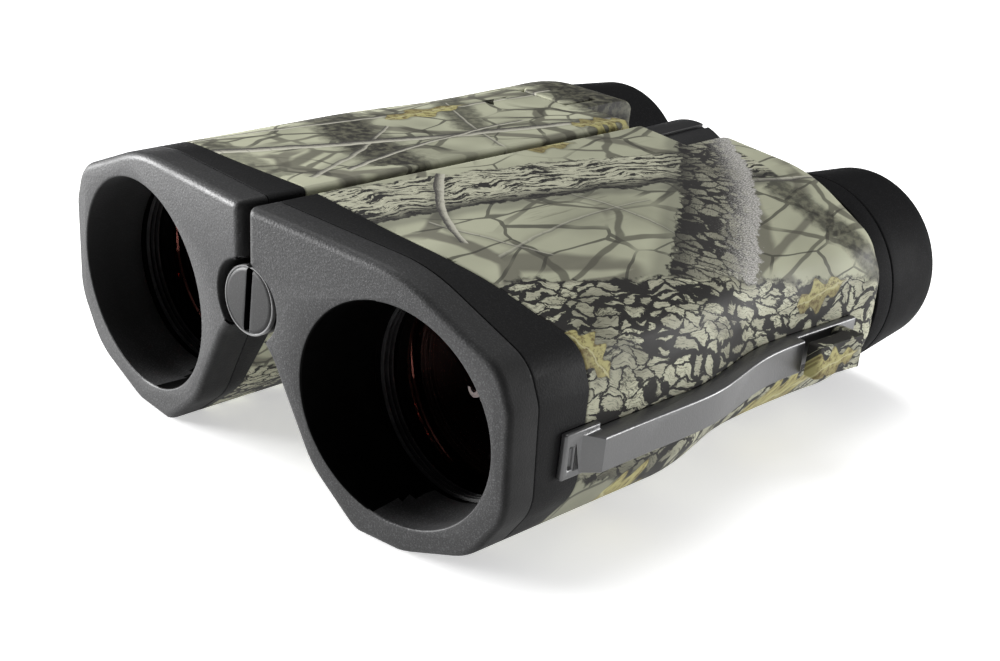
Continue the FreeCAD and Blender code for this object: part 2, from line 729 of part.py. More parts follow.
def strap_bar():
    """Bar along the half's side, with a taller plate at the front and a thin tail under the lug."""
    top = size("bar_top")
    low = top - size("bar_height")
    start = size("bar_plate_start")
    tail = size("lug_start") - size("gap")
    seat = -size("bar_seat")
    tail_out = size("bar_thickness") - size("lug_slot") + size("tail_gap")
    middle = bar_band(low, top, seat, size("bar_thickness"), start + 2, tail)
    rear = bar_band(low, top, seat, tail_out, tail - 1, size("bar_end"))
    plate_low = low - size("bar_overhang")
    plate = bar_band(plate_low, plate_low + size("bar_plate_height"), seat, size("bar_plate_thickness"),
                     start, start + size("bar_plate_length"))
    face = size("half_width") + size("bar_plate_thickness")
    ramp_start = start + size("bar_ramp_start")
    ramp_out = size("bar_thickness") + 4 - size("bar_plate_thickness")
    ramp_end = ramp_start + ramp_out * size("bar_ramp_slope")
    corners = [V(face, start - 2, low - 1), V(face + ramp_out, start - 2, low - 1),
               V(face + ramp_out, ramp_end, low - 1), V(face, ramp_start, low - 1)]
    ramp = Part.Face(Part.makePolygon(corners + [corners[0]])).extrude(V(0, 0, size("bar_height") + 2))
    bar = middle.cut(ramp).fuse(rear).fuse(plate).cut(outer_form)
    for number in (0, 1):
        groove_y = start + size("grip_first") + size("grip_pitch") * number
        groove = Part.makeBox(10, size("grip_width"), size("grip_height"),
                              V(face - size("grip_depth"), groove_y, low + size("grip_low")))
        bar = bar.cut(groove)
    for y in screw_places():
        bar = bar.cut(screw(y, size("fit")))
    return bar.removeSplitter()


def screw_places():
    return (size("bar_plate_start") + size("screw_front"), size("bar_end") - size("screw_rear"))


def screw(y, extra=0.0):
    """One screw shank through the bar into the shell."""
    curve = side_curve(0)
    steps = 200
    run = curve.LastParameter - curve.FirstParameter
    places = [curve.value(curve.FirstParameter + run * k / steps) for k in range(steps + 1)]
    point = min(places, key=lambda place_on_side: abs(place_on_side.y - y))
    z = size("bar_top") - size("bar_height") / 2
    out = size("screw_out")
    base = V(point.x + out, y, z)
    run_in = out + WALL - size("screw_short")
    return Part.makeCylinder(size("screw_radius") + extra, run_in, base, V(-1, 0, 0))


def strap_lug():
    """Block that stands off the bar's tail on two feet and leaves a slot for the strap."""
    low = size("bar_top") - size("lug_height") - size("bar_overhang")
    start = size("lug_start")
    end = start + size("lug_length")
    stand = size("bar_thickness")
    block_shape = bar_band(low, low + size("lug_height"), stand, stand + size("lug_thickness"), start, end)
    inside = size("bar_thickness") - size("lug_slot") + size("tail_gap") + size("lug_foot_gap")
    foot = bar_band(low, low + size("lug_height"), inside, stand + 1, end - size("lug_foot"), end)
    return block_shape.fuse(foot).removeSplitter()


# ---------------------------------------------------------------- pieces of both halves


def shells(side):
    shape_part(f"{side}_front_cap", mirrored(front_cap(), side))
    shape_part(f"{side}_collar", mirrored(collar(), side))
    shape_part(f"{side}_housing", mirrored(housing(side), side))
    shape_part(f"{side}_strap_bar", mirrored(strap_bar(), side))
    shape_part(f"{side}_strap_lug", mirrored(strap_lug(), side))
    screws = Part.makeCompound([screw(y) for y in screw_places()])
    shape_part(f"{side}_bar_screws", mirrored(screws, side))


def optics(side):
    x = barrel_x(side)
    shape_part(f"{side}_barrel", mirrored(barrel(side), side))
    objective = lens(size("lens_bore") - size("fit"), size("lens_edge"), size("lens_bulge"),
                     size("lens_back"), size("lens_seat") - size("lens_edge") - size("lens_rest"))
    shape_part(f"{side}_objective_lens", mirrored(objective, side))
    ring(f"{side}_lens_retainer", "{lens_bore} - {fit}", "{retainer_bore}",
         "{lens_seat} - {lens_edge} - {lens_rest} - {gap} - {retainer_length}",
         "{lens_seat} - {lens_edge} - {lens_rest} - {gap}", x)
    shape_part(f"{side}_focus_cell", mirrored(focus_cell(), side))
    cell_end = size("focus_cell_start") + size("focus_cell_length")
    glass_end = cell_end - size("cell_lip") - size("lens_rest")
    cell_lens = lens(size("focus_lens_radius"), size("focus_lens_thickness"), size("cell_lens_front"),
                     size("cell_lens_back"), glass_end - size("focus_lens_thickness"))
    shape_part(f"{side}_focus_lens", mirrored(cell_lens, side))
    prism_set(side, x)
    eyepiece(side, x)


def prism_set(side, x):
    """Prism cage as a tube with a square well, and the roof prism pair in it."""
    start = "{cage_start}"
    outside = cylinder(f"{side}_cage_outside", "{rear_tube_bore} - {fit}", start,
                       f"{start} + {{cage_length}}", x)
    well = block(f"{side}_cage_well", f"{x} - {{prism_width}} / 2 - {{fit}}", f"{start} + {{cage_floor}}",
                 "-{prism_width} / 2 - {fit}", "{prism_width} + 2 * {fit}", "{cage_length}",
                 "{prism_width} + 2 * {fit}")
    light = cylinder(f"{side}_cage_light", "{prism_width} / 2 - 1", f"{start} - 1", f"{start} + 5", x)
    port = doc.addObject("Part::Cylinder", f"{side}_cage_port")
    port.setExpression("Radius", expr("{port_radius} + {fit}"))
    port.Height = 30
    place(port, x, "{port_place}", "0", FreeCAD.Rotation())
    keep(cut(f"{side}_prism_cage", outside, well, light, port), f"{side}_prism_cage")
    glass = block(f"{side}_prism_block", f"{x} - {{prism_width}} / 2", f"{start} + {{cage_floor}} + {{fit}}",
                  "-{prism_width} / 2", "{prism_width}", "{prism_length}", "{prism_width}")
    doc.recompute()
    corner_edges = [
        number for number, edge in enumerate(glass.Shape.Edges, start=1)
        if abs(edge.Vertexes[0].X - edge.Vertexes[1].X) > 1 and edge.BoundBox.Center.z > size("axis_height")
    ]
    roof = doc.addObject("Part::Chamfer", f"{side}_prism_roof")
    roof.Base = glass
    roof.Edges = [(number, size("prism_chamfer"), size("prism_chamfer")) for number in corner_edges]
    keep(roof, f"{side}_prism")


def eyepiece(side, x):
    """Eyepiece tube with its two glasses, the ring at its foot, the gliding sleeve and the eyecup."""
    label = f"{side}_eyepiece_tube"
    spigot = cylinder(f"{label}_spigot", "{rear_tube_bore} - {fit}", "{eye_tube_start}", "{barrel_end}", x)
    barrel_part = cylinder(f"{label}_barrel", "{eye_tube_radius}", "{eye_tube_start}", "{eye_tube_end}", x)
    body = fuse(label, spigot, barrel_part)
    through = cylinder(f"{label}_bore", "{eye_tube_bore}", "{eye_tube_start} - 1", "{eye_tube_end} + 1", x)
    keep(cut(label, body, through), label)
    for name, start, thick in (
        ("field_lens", "field_lens_start", "field_lens_thickness"),
        ("eye_lens", "eye_lens_start", "eye_lens_thickness"),
    ):
        glass = lens(size("eye_tube_bore") - size("fit"), size(thick), size("eye_bulge_front"),
                     size("eye_bulge_back"), size(start))
        shape_part(f"{side}_{name}", mirrored(glass, side))
    base = "left_eyecup_base" if side == "left" else "diopter_ring"
    ring(base, "{base_ring_radius}", "{eye_tube_radius} + {running_fit}", "{base_ring_start}",
         "{base_ring_start} + {base_ring_length}", x)
    glide_start = "{base_ring_start} + {base_ring_length} + {gap}"
    ring(f"{side}_eyecup_glide", "{cup_bore} - {running_fit}", "{eye_tube_radius} + {running_fit}",
         glide_start, "{glide_end}", x)
    label = f"{side}_eyecup"
    outside = cone(f"{label}_outside", "{cup_front_radius}", "{cup_rear_radius}", glide_start, "{cup_end}", x)
    socket = cylinder(f"{label}_socket", "{cup_bore}", f"{glide_start} - 1",
                      "{cup_end} - {cup_lip_thickness}", x)
    lip = cylinder(f"{label}_lip", "{cup_lip_bore}", "{cup_end} - 10", "{cup_end} + 1", x)
    keep(cut(label, outside, socket, lip), label)


# ---------------------------------------------------------------- hinge, battery and focusing drive


def battery_tube():
    """Tube on the hinge axis: it carries the knuckles and holds the cell."""
    z = "{hinge_rise}"
    outside = cylinder("battery_tube_outside", "{hinge_tube_radius}", "{battery_tube_start}",
                       "{battery_tube_end}", z=z)
    inside = cylinder("battery_tube_inside", "{battery_bore}", "{battery_tube_start} - 1",
                      "{battery_tube_end} - {tube_floor}", z=z)
    keep(cut("battery_tube", outside, inside), "battery_tube")
    cell = cylinder("cell_can", "{cell_radius}", "{cell_start}", "{cell_start} + {cell_length} - 1", z=z)
    nose = cylinder("cell_nose", "{cell_radius} / 2", "{cell_start} + {cell_length} - 1",
                    "{cell_start} + {cell_length}", z=z)
    keep(fuse("battery_cell", cell, nose), "battery_cell")
    foot = "{battery_tube_end} - {tube_floor} - {gap}"
    tip = "{cell_start} + {cell_length} + {gap}"
    dish = cone("contact_dish", "{contact_tip_radius}", "{contact_foot_radius}", tip, foot, z=z)
    hollow = cone("contact_hollow", "{contact_tip_radius} - {contact_sheet}",
                  "{contact_foot_radius} - {contact_sheet}", tip, foot, z=z)
    keep(cut("contact_spring", dish, hollow), "contact_spring")


def plane_of(body, role):
    """A body's own origin plane or axis, found by its role."""
    for feature in body.Origin.OriginFeatures:
        if feature.Role == role:
            return feature
    raise ValueError(role)


def sketch_on(body, name, role, offset=None):
    """An empty sketch on one of the body's origin planes."""
    sketch = body.newObject("Sketcher::SketchObject", name)
    sketch.AttachmentSupport = [(plane_of(body, role), "")]
    sketch.MapMode = "FlatFace"
    if offset:
        sketch.setExpression("AttachmentOffset.Base.z", expr(offset))
    return sketch


def circle(sketch, radius):
    """A circle round the sketch's origin whose radius is bound to the sheet."""
    number = sketch.addGeometry(Part.Circle(V(0, 0, 0), V(0, 0, 1), 5), False)
    sketch.addConstraint(Sketcher.Constraint("Coincident", number, 3, -1, 1))
    index = sketch.addConstraint(Sketcher.Constraint("Radius", number, 5))
    sketch.setExpression(f"Constraints[{index}]", expr(radius))
    return number


def rectangle(sketch, width, height, x0="0", y0="0"):
    """A rectangle from a corner at (x0, y0), its place and size bound to the sheet."""
    points = [V(1, 1, 0), V(3, 1, 0), V(3, 2, 0), V(1, 2, 0)]
    lines = [sketch.addGeometry(Part.LineSegment(points[i], points[(i + 1) % 4]), False) for i in range(4)]
    for i in range(4):
        sketch.addConstraint(Sketcher.Constraint("Coincident", lines[i], 2, lines[(i + 1) % 4], 1))
    for i in (0, 2):
        sketch.addConstraint(Sketcher.Constraint("Horizontal", lines[i]))
        sketch.addConstraint(Sketcher.Constraint("Vertical", lines[i + 1]))
    for kind, text, points_of in (
        ("DistanceX", width, (lines[0], 1, lines[0], 2)),
        ("DistanceY", height, (lines[1], 1, lines[1], 2)),
        ("DistanceX", x0, (-1, 1, lines[0], 1)),
        ("DistanceY", y0, (-1, 1, lines[0], 1)),
    ):
        index = sketch.addConstraint(Sketcher.Constraint(kind, *points_of, 1.0))
        sketch.setExpression(f"Constraints[{index}]", expr(text))
    return lines


def pad(body, sketch, length, name):
    feature = body.newObject("PartDesign::Pad", name)
    feature.Profile = sketch
    feature.setExpression("Length", expr(length))
    return feature


def pocket(body, sketch, length, name, reverse=False):
    feature = body.newObject("PartDesign::Pocket", name)
    feature.Profile = sketch
    feature.setExpression("Length", expr(length))
    feature.Reversed = reverse
    return feature


def battery_cap():
    """Cap with a coin slot across its domed face, a rim, and a spigot into the battery tube."""
    body = doc.addObject("PartDesign::Body", "BatteryCap")
    head = sketch_on(body, "CapHead", "XY_Plane")
    circle(head, "{battery_cap_radius}")
    pad(body, head, "{battery_tube_start} - {battery_cap_front} - 2 * {seal_seat} - {seal_thickness}",
        "CapHeadPad")
    spigot = sketch_on(body, "CapSpigot", "XY_Plane")
    circle(spigot, "{battery_bore} - {running_fit}")
    pad(body, spigot, "{cell_start} - {battery_cap_front} - {cap_short}", "CapSpigotPad")
    doc.recompute()
    edges = [f"Edge{number}" for number, edge in enumerate(body.Shape.Edges, start=1)
             if abs(edge.BoundBox.ZMax) < 1e-6 and edge.Closed]
    dome = body.newObject("PartDesign::Fillet", "CapDome")
    dome.Base = (body.Group[-2], edges)
    dome.setExpression("Radius", expr("{cap_dome}"))
    slot = sketch_on(body, "CoinSlot", "XY_Plane")
    rectangle(slot, "{coin_slot_width}", "3 * {battery_cap_radius}", "-{coin_slot_width} / 2",
              "-1.5 * {battery_cap_radius}")
    pocket(body, slot, "{coin_slot_depth}", "CoinSlotPocket", True)
    place(body, "0", "{battery_cap_front}", "{hinge_rise}")
    keep(body, "battery_cap")
    seal_end = "{battery_tube_start} - {seal_seat}"
    ring("cap_seal", "{battery_cap_radius} - {gap}", "{battery_bore} + {running_fit}",
         f"{seal_end} - {{seal_thickness}}", seal_end, z="{hinge_rise}")


def focus_drive():
    """Bush in the rear knuckles, spindle, yoke and wheel."""
    z = "{hinge_rise}"
    ring("focus_bush", "{hinge_tube_radius}", "{spindle_radius} + {running_fit}", "{bush_start}",
         "{bush_end}", z=z)
    rod = cylinder("focus_spindle_rod", "{spindle_radius}", "{spindle_start}",
                   "{wheel_end} - {hub_cover}", z=z)
    keep(rod, "focus_spindle")
    middle = "{focus_cell_start} + {focus_cell_length} / 2"
    half = "{focus_cell_length} / 2 - {yoke_short}"
    outside = cylinder("yoke_outside", "{yoke_radius}", f"{middle} - ({half})", f"{middle} + {half}", z=z)
    inside = cylinder("yoke_thread", "{spindle_radius} + {running_fit}", f"{middle} - 10",
                      f"{middle} + 10", z=z)
    band = cylinder("yoke_band", "{yoke_radius} + 1", f"{middle} - {{drive_pin_radius}} - {{yoke_side_gap}}",
                    f"{middle} + {{drive_pin_radius}} + {{yoke_side_gap}}", z=z)
    core = cylinder("yoke_core", "{yoke_groove_radius}", f"{middle} - 4", f"{middle} + 4", z=z)
    groove = cut("yoke_groove", band, core)
    keep(cut("focus_yoke", outside, inside, groove), "focus_yoke")

    hub = doc.addObject("PartDesign::Body", "FocusHub")
    disc = sketch_on(hub, "HubDisc", "XY_Plane")
    circle(disc, "{wheel_radius} - {grip_thickness} - {fit}")
    pad(hub, disc, "{wheel_end} - {wheel_start}", "HubPad")
    bore = sketch_on(hub, "HubBore", "XY_Plane")
    circle(bore, "{spindle_radius} + 0.01")
    pocket(hub, bore, "{wheel_end} - {hub_cover} - {wheel_start}", "HubBorePocket", True)
    place(hub, "0", "{wheel_start}", z)
    keep(hub, "focus_wheel_hub")

    grip = doc.addObject("PartDesign::Body", "FocusGrip")
    band = sketch_on(grip, "GripBand", "XY_Plane")
    circle(band, "{wheel_radius}")
    circle(band, "{wheel_radius} - {grip_thickness}")
    pad(grip, band, "{wheel_end} - {wheel_start} - 2 * {gap}", "GripPad")
    rib = sketch_on(grip, "GripGroove", "XY_Plane", "3")
    rectangle(rib, "{wheel_rib_depth} + 1", "{wheel_rib_width}", "{wheel_radius} - {wheel_rib_depth}",
              "-{wheel_rib_width} / 2")
    groove = pocket(grip, rib, "{wheel_end} - {wheel_start}", "GripGroovePocket", True)
    doc.recompute()
    pattern = grip.newObject("PartDesign::PolarPattern", "GripPattern")
    pattern.Originals = [groove]
    pattern.Axis = (plane_of(grip, "Z_Axis"), [""])
    pattern.Angle = 360
    pattern.setExpression("Occurrences", expr("{wheel_rib_count}"))
    grip.Tip = pattern
    place(grip, "0", "{wheel_start} + {gap}", z)
    keep(grip, "focus_wheel_grip")


# ---------------------------------------------------------------- electronics and buttons


def boards():
    """One circuit board over each barrel, the two switches, the laser's diode and its receiver."""
    for side, label in (("left", "laser_board"), ("right", "switch_board")):
        low = "{board_inset}" if side == "left" else "-{board_inset} - {board_width}"
        keep(block(label, low, "{board_start}", "{board_height}", "{board_width}", "{board_length}",
                   "{board_thickness}"), label)
    for key in button_sizes():
        label = f"{key}_switch"
        keep(block(label, "-{button_inset} - {switch_width} / 2",
                   f"{{{key}_button_place}} - {{switch_width}} / 2", "{board_height} + {board_thickness}",
                   "{switch_width}", "{switch_width}", "{switch_height}"), label)
    for side, label in (("left", "laser_diode"), ("right", "laser_receiver")):
        obj = doc.addObject("Part::Cylinder", f"{label}_can")
        obj.setExpression("Radius", expr("{port_radius}"))
        obj.setExpression("Height", expr("{port_length}"))
        place(obj, barrel_x(side), "{port_place}", "{rear_tube_bore} - {can_sink}", FreeCAD.Rotation())
        keep(obj, label)
    face = "{cage_start} + {cage_length} - {display_before}"
    keep(cylinder("display_disc", "{prism_width} / 2 - {gap}", face, f"{face} + {{display_thickness}}",
                  barrel_x("right")), "range_display")


def buttons():
    """Two rounded keys in the right half's top."""
    for key, (width, length) in (("range", ("{range_button_width}", "{range_button_length}")),
                                 ("mode", ("{mode_button_length}", "{mode_button_length}"))):
        body = doc.addObject("PartDesign::Body", f"{key.title()}Button")
        sketch = sketch_on(body, f"{key.title()}Outline", "XY_Plane")
        rectangle(sketch, width, length, f"-{width} / 2", f"-{length} / 2")
        pad(body, sketch, "{button_thickness}", f"{key.title()}Pad")
        doc.recompute()
        edges = [f"Edge{number}" for number, edge in enumerate(body.Shape.Edges, start=1)
                 if edge.BoundBox.ZLength > 1]
        rounds = body.newObject("PartDesign::Fillet", f"{key.title()}Rounds")
        rounds.Base = (body.Group[-2], edges)
        rounds.setExpression("Radius", expr("{button_round}"))
        place(body, "-{button_inset}", f"{{{key}_button_place}}", "{button_top} - {button_thickness}",
              FreeCAD.Rotation())
        keep(body, f"{key}_button")


for half in SIDES:
    shells(half)
    optics(half)
battery_tube()
battery_cap()
focus_drive()
boards()
buttons()
doc.recompute()

broken = [obj.Label for obj in doc.Objects if "Invalid" in obj.State or "Error" in obj.State]
bad = [obj.Label for obj in parts if obj.Shape.isNull() or not obj.Shape.isValid() or not obj.Shape.Solids]
if broken or bad:
    raise RuntimeError(f"failed objects {broken}, bad shapes {bad}")

os.makedirs("parts", exist_ok=True)
for obj in parts:
    obj.Shape.exportStep(os.path.join("parts", obj.Label + ".step"))
    print(f"{obj.Label}: {len(obj.Shape.Solids)} solid(s), {obj.Shape.Volume:.0f} mm3")
print(len(parts), "nodes")
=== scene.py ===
"""Finish and studio for a camouflaged laser rangefinder of binocular type, built round its CAD frame."""

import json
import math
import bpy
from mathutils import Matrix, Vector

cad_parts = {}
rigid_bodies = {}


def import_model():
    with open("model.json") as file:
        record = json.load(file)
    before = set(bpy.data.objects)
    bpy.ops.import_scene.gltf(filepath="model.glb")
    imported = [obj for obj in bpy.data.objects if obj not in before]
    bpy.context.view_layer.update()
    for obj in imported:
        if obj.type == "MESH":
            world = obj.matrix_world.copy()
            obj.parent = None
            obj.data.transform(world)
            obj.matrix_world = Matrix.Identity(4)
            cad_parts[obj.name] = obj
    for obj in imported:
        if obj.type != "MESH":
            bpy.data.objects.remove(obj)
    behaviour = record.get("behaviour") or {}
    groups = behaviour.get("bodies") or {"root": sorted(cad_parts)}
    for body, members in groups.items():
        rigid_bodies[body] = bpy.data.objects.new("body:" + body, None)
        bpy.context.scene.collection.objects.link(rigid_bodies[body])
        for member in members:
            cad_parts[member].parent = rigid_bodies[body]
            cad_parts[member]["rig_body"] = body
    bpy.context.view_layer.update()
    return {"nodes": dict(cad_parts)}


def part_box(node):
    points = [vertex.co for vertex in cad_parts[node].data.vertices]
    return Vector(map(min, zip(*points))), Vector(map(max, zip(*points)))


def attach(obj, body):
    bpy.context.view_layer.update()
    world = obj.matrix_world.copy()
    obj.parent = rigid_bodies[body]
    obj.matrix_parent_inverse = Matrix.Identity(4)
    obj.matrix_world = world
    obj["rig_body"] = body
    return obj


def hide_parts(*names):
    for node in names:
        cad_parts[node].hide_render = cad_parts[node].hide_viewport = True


bl_info = {
    "name": "Camouflaged Laser Rangefinder",
    "version": (1, 0, 0),
    "blender": (4, 5, 0),
    "location": "View3D > Sidebar > Rangefinder",
    "description": "Builds the visible skins, finishes and studio of a binocular laser rangefinder",
    "category": "Object",
}

import bpy
from bpy.props import FloatProperty, FloatVectorProperty, IntProperty, PointerProperty
from mathutils import Matrix, Vector

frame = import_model()

BODY_OF = {name: holder["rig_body"] for name, holder in frame["nodes"].items()}
SIDES = ("left", "right")
MM = 0.001

# Layout of the printed film, in mm
HINGE_FRONT = 76.15         # from the front of the hinge line back to the origin
AXIS_HEIGHT = 27.7          # from the resting surface up to the optical axes
TOP_SEAM = 28.5             # from the optical axes up to the seam between the halves
UNDER_SEAM = 150.0          # where the film ends, at the seam on the underside

# Sizes in metres
MERGE_DISTANCE = 0.000004
BORE_RADIUS = 0.0228        # faces nearer to an optical axis than this are painted near-black, as painted shade inside the bore
COIN_SLOT_HALF = 0.00088    # half the slot's width
COIN_SLOT_DEPTH = 0.0026
COIN_FACE_DEPTH = 0.0012    # forward faces up to this depth belong to the cap's face
BAFFLE_PITCH = 0.0012

# Turned rings, as radius and depth behind their front, in metres
CAP_RIM = ((0.00693, 0.0013), (0.00693, 0.00025), (0.00678, 0.0001),
           (0.00663, 0.0001), (0.00648, 0.00025), (0.00648, 0.0013))
BAFFLE_RING = ((0.02105, 0.0), (0.0204, 0.00015), (0.0204, 0.00045), (0.02105, 0.0006))
RING_CORNERS = 96

# Angles of a skin's faces
FLAT_ANGLE = math.radians(0.05)
QUAD_BEND = math.radians(50)
QUAD_SKEW = math.radians(60)
SMOOTH_ANGLE = math.radians(32)
RING_SMOOTH_ANGLE = math.radians(35)

# Shares of a unit normal
BORE_END = 0.75             # along the axis, past which a face is no wall of the bore
FORWARD = -0.5              # along Y, below which a face looks forwards
UNDERSIDE = -0.82           # along Z, below which a face belongs to the underside
SIDE_START = 0.2            # sideways, where a hood starts to roughen and to darken with painted shade
SIDE_SPAN = 0.5             # how much further sideways it is fully roughened and darkened with painted shade

# Roundings of single pieces, as shares of the sizes in the panel
COLLAR_EDGE = 0.5
LUG_EDGE = 1.4
EYE_RING_EDGE = 0.6
GRIP_EDGE = 0.5
HUB_EDGE = 0.4
SLEEVE_EDGE = 2.0
KEY_EDGE = 0.8

# Moulded grain, as a noise scale per metre, and a pale grey for specks, for grey polymer and for pale edges,
# which are part handling wear and part painted highlight
GRAIN_SCALE = 2200.0
RUBBER_GRAIN_SCALE = 1500.0
PALE_GREY = (0.16, 0.16, 0.165)

# Studio, in metres; the lens and its sensor in mm
CAMERA_PLACE = (0.26039, -0.30401, 0.18625)
CAMERA_AXES = ((0.72240916, 0.68363721, 0.10375532),        # to the right
               (-0.34338233, 0.22444575, 0.91198283),       # up
               (0.60017796, -0.6944525, 0.3968906))         # back, away from the view
FOCAL_LENGTH = 71.73
SENSOR_WIDTH = 36.0
FLOOR_SIZE = 6.0
FLOOR_DROP = 0.0002         # below the resting surface, so that the two do not flicker
# name, place, target, width, height and power
SOFTBOXES = (
    ("Top Soft Light", (-0.35, 0.15, 1.2), (0.0, 0.0, 0.0), 0.9, 0.9, 10.0),
    ("Front Soft Light", (-0.74, -0.52, 0.12), (0.0, -0.05, 0.03), 0.5, 0.22, 26.0),
    ("Rim Soft Light", (0.60, 0.72, 0.08), (0.05, 0.02, 0.02), 0.40, 0.14, 7.0),
)


# ---------------------------------------------------------------- sizes and colours

def length(name, description, default):
    return FloatProperty(name=name, description=description, default=default, min=0.0,
                         unit="LENGTH", subtype="DISTANCE", precision=5)


def colour(name, description, default):
    return FloatVectorProperty(name=name, description=description, default=default, size=3,
                               min=0.0, max=1.0, subtype="COLOR")


class RangefinderSizes(bpy.types.PropertyGroup):
    shell_edge: length("Shell edge", "Rounding of the moulded shells' edges", 0.0005)
    rubber_edge: length("Rubber edge", "Rounding of the eyecups' and the wheel's edges", 0.0006)
    metal_edge: length("Metal edge", "Rounding of the small turned parts' edges", 0.00015)
    edge_steps: IntProperty(name="Edge steps", description="Faces across each rounded edge",
                            default=3, min=1, max=6)


class RangefinderColours(bpy.types.PropertyGroup):
    ground: colour("Ground", "Sage ground of the camouflage", (0.36, 0.365, 0.268))
    bark_pale: colour("Pale bark", "Scales of the bark", (0.47, 0.47, 0.35))
    bark_dark: colour("Dark bark", "Cracks between the scales", (0.014, 0.013, 0.013))
    twig: colour("Twig", "Lit side of the twigs", (0.42, 0.41, 0.34))
    leaf: colour("Leaf", "Dead leaves", (0.34, 0.315, 0.135))
    shell: colour("Shell", "Moulded black shell", (0.016, 0.016, 0.0165))
    rubber: colour("Rubber", "Black rubber", (0.006, 0.006, 0.0065))
    cap: colour("Cap", "Grey battery cap", (0.040, 0.040, 0.041))


# ---------------------------------------------------------------- node graphs

class Graph:
    """Short names for the nodes of one material or node group."""

    def __init__(self, tree):
        self.tree = tree

    def new(self, kind, inputs=None, **settings):
        made = self.tree.nodes.new(kind)
        for key, value in settings.items():
            setattr(made, key, value)
        for key, value in (inputs or {}).items():
            self.put(made.inputs[key], value)
        return made

    def put(self, socket, value):
        """Links a socket to another, or gives it a value; a colour may come without its alpha."""
        if isinstance(value, bpy.types.NodeSocket):
            self.tree.links.new(value, socket)
        elif hasattr(value, "__len__") and len(value) == 3 and len(socket.default_value) == 4:
            socket.default_value = (*value, 1.0)
        else:
            socket.default_value = value

    def filled(self, kind, operation, values):
        """A maths node with its inputs filled in order."""
        made = self.new(kind, operation=operation)
        for index, value in enumerate(values):
            self.put(made.inputs[index], value)
        return made.outputs

    def math(self, operation, *values):
        return self.filled("ShaderNodeMath", operation, values)[0]

    def vector(self, operation, *values):
        return self.filled("ShaderNodeVectorMath", operation, values)[0]

    def plus(self, value, other):
        return self.math("ADD", value, other)

    def less(self, value, other):
        return self.math("SUBTRACT", value, other)

    def times(self, value, *others):
        for other in others:
            value = self.math("MULTIPLY", value, other)
        return value

    def rest(self, value):
        """What is left of one."""
        return self.less(1.0, value)

    def absolute(self, value):
        return self.math("ABSOLUTE", value)

    def swing(self, value, reach):
        """A noise value spread evenly about zero."""
        return self.times(self.less(value, 0.5), reach)

    def split(self, vector):
        return self.new("ShaderNodeSeparateXYZ", {"Vector": vector}).outputs

    def join(self, x, y=0.0):
        return self.new("ShaderNodeCombineXYZ", {"X": x, "Y": y}).outputs[0]

    def scaled(self, vector, factors):
        return self.vector("MULTIPLY", vector, factors)

    def noise(self, vector, scale, detail=3.0, rough=0.5, output="Fac"):
        made = self.new("ShaderNodeTexNoise", {"Vector": vector, "Scale": scale, "Detail": detail,
                                               "Roughness": rough})
        return made.outputs[output]

    def drift(self, vector, scale, detail, rough, reach):
        """A push within the plane of the film that changes from place to place."""
        push = self.noise(vector, scale, detail, rough, "Color")
        return self.scaled(self.vector("SUBTRACT", push, (0.5, 0.5, 0.5)), (reach, reach, 0.0))

    def voronoi(self, vector, scale, feature="F1", randomness=1.0, output="Distance"):
        made = self.new("ShaderNodeTexVoronoi", {"Vector": vector, "Scale": scale, "Randomness": randomness},
                        feature=feature)
        return made.outputs[output]

    def cracks(self, vector, scale, randomness=1.0):
        return self.voronoi(vector, scale, "DISTANCE_TO_EDGE", randomness)

    def step(self, value, low, high):
        made = self.new("ShaderNodeMapRange", {"Value": value, "From Min": low, "From Max": high},
                        interpolation_type="SMOOTHSTEP")
        return made.outputs["Result"]

    def span(self, value, low, high, out_low, out_high):
        made = self.new("ShaderNodeMapRange", {"Value": value, "From Min": low, "From Max": high,
                                               "To Min": out_low, "To Max": out_high})
        return made.outputs["Result"]

    def mix(self, share, under, over, blend="MIX"):
        made = self.new("ShaderNodeMix", data_type="RGBA", blend_type=blend)
        self.put(made.inputs[0], share)
        self.put(made.inputs[6], under)
        self.put(made.inputs[7], over)
        return made.outputs[2]

    def partly(self, mask, share, under, over):
        """Lays a colour over another where the mask is, at a share of its strength."""
        return self.mix(self.times(mask, share), under, over)

    def group(self, name, inputs):
        made = self.new("ShaderNodeGroup")
        made.node_tree = bpy.data.node_groups[name]
        for key, value in inputs.items():
            self.put(made.inputs[key], value)
        return made.outputs

    def bump(self, height, distance, strength):
        inputs = {"Height": height, "Distance": distance, "Strength": strength}
        return self.new("ShaderNodeBump", inputs).outputs["Normal"]

    def attribute(self, name, output):
        return self.new("ShaderNodeAttribute", attribute_name=name).outputs[output]


# Sockets that several groups share, as (name, kind, default)
FILM_SOCKETS = (("Film", "Vector", None), ("Start", "Vector", None), ("Turn", "Float", 0.0))
STROKE_SOCKETS = (*FILM_SOCKETS, ("Length", "Float", 50.0), ("Width", "Float", 2.0), ("Bend", "Float", 0.0),
                  ("Taper", "Float", 0.3))
BARK_SOCKETS = (("Pale", "Color", (0.5, 0.5, 0.37, 1.0)), ("Dark", "Color", (0.014, 0.013, 0.013, 1.0)))


def new_group(name, inputs, outputs):
    """A node group with its graph, what it is given and what it results in."""
    tree = bpy.data.node_groups.new(name, "ShaderNodeTree")
    for key, kind, default in inputs:
        socket = tree.interface.new_socket(key, in_out="INPUT", socket_type=f"NodeSocket{kind}")
        if default is not None:
            socket.default_value = default
    for key, kind in outputs:
        tree.interface.new_socket(key, in_out="OUTPUT", socket_type=f"NodeSocket{kind}")
    graph = Graph(tree)
    given = graph.new("NodeGroupInput").outputs
    result = graph.new("NodeGroupOutput").inputs
    return graph, given, result


def picture_group(name, *more):
    """A group that lays one stroke over the picture under it."""
    return new_group(name, [("Under", "Color", None), *STROKE_SOCKETS, *more], [("Color", "Color")])


def stroke_in(g, given, **edges):
    """The stroke that a picture group is given."""
    return g.group("Stroke", {**{key: given[key] for key, kind, default in STROKE_SOCKETS}, **edges})


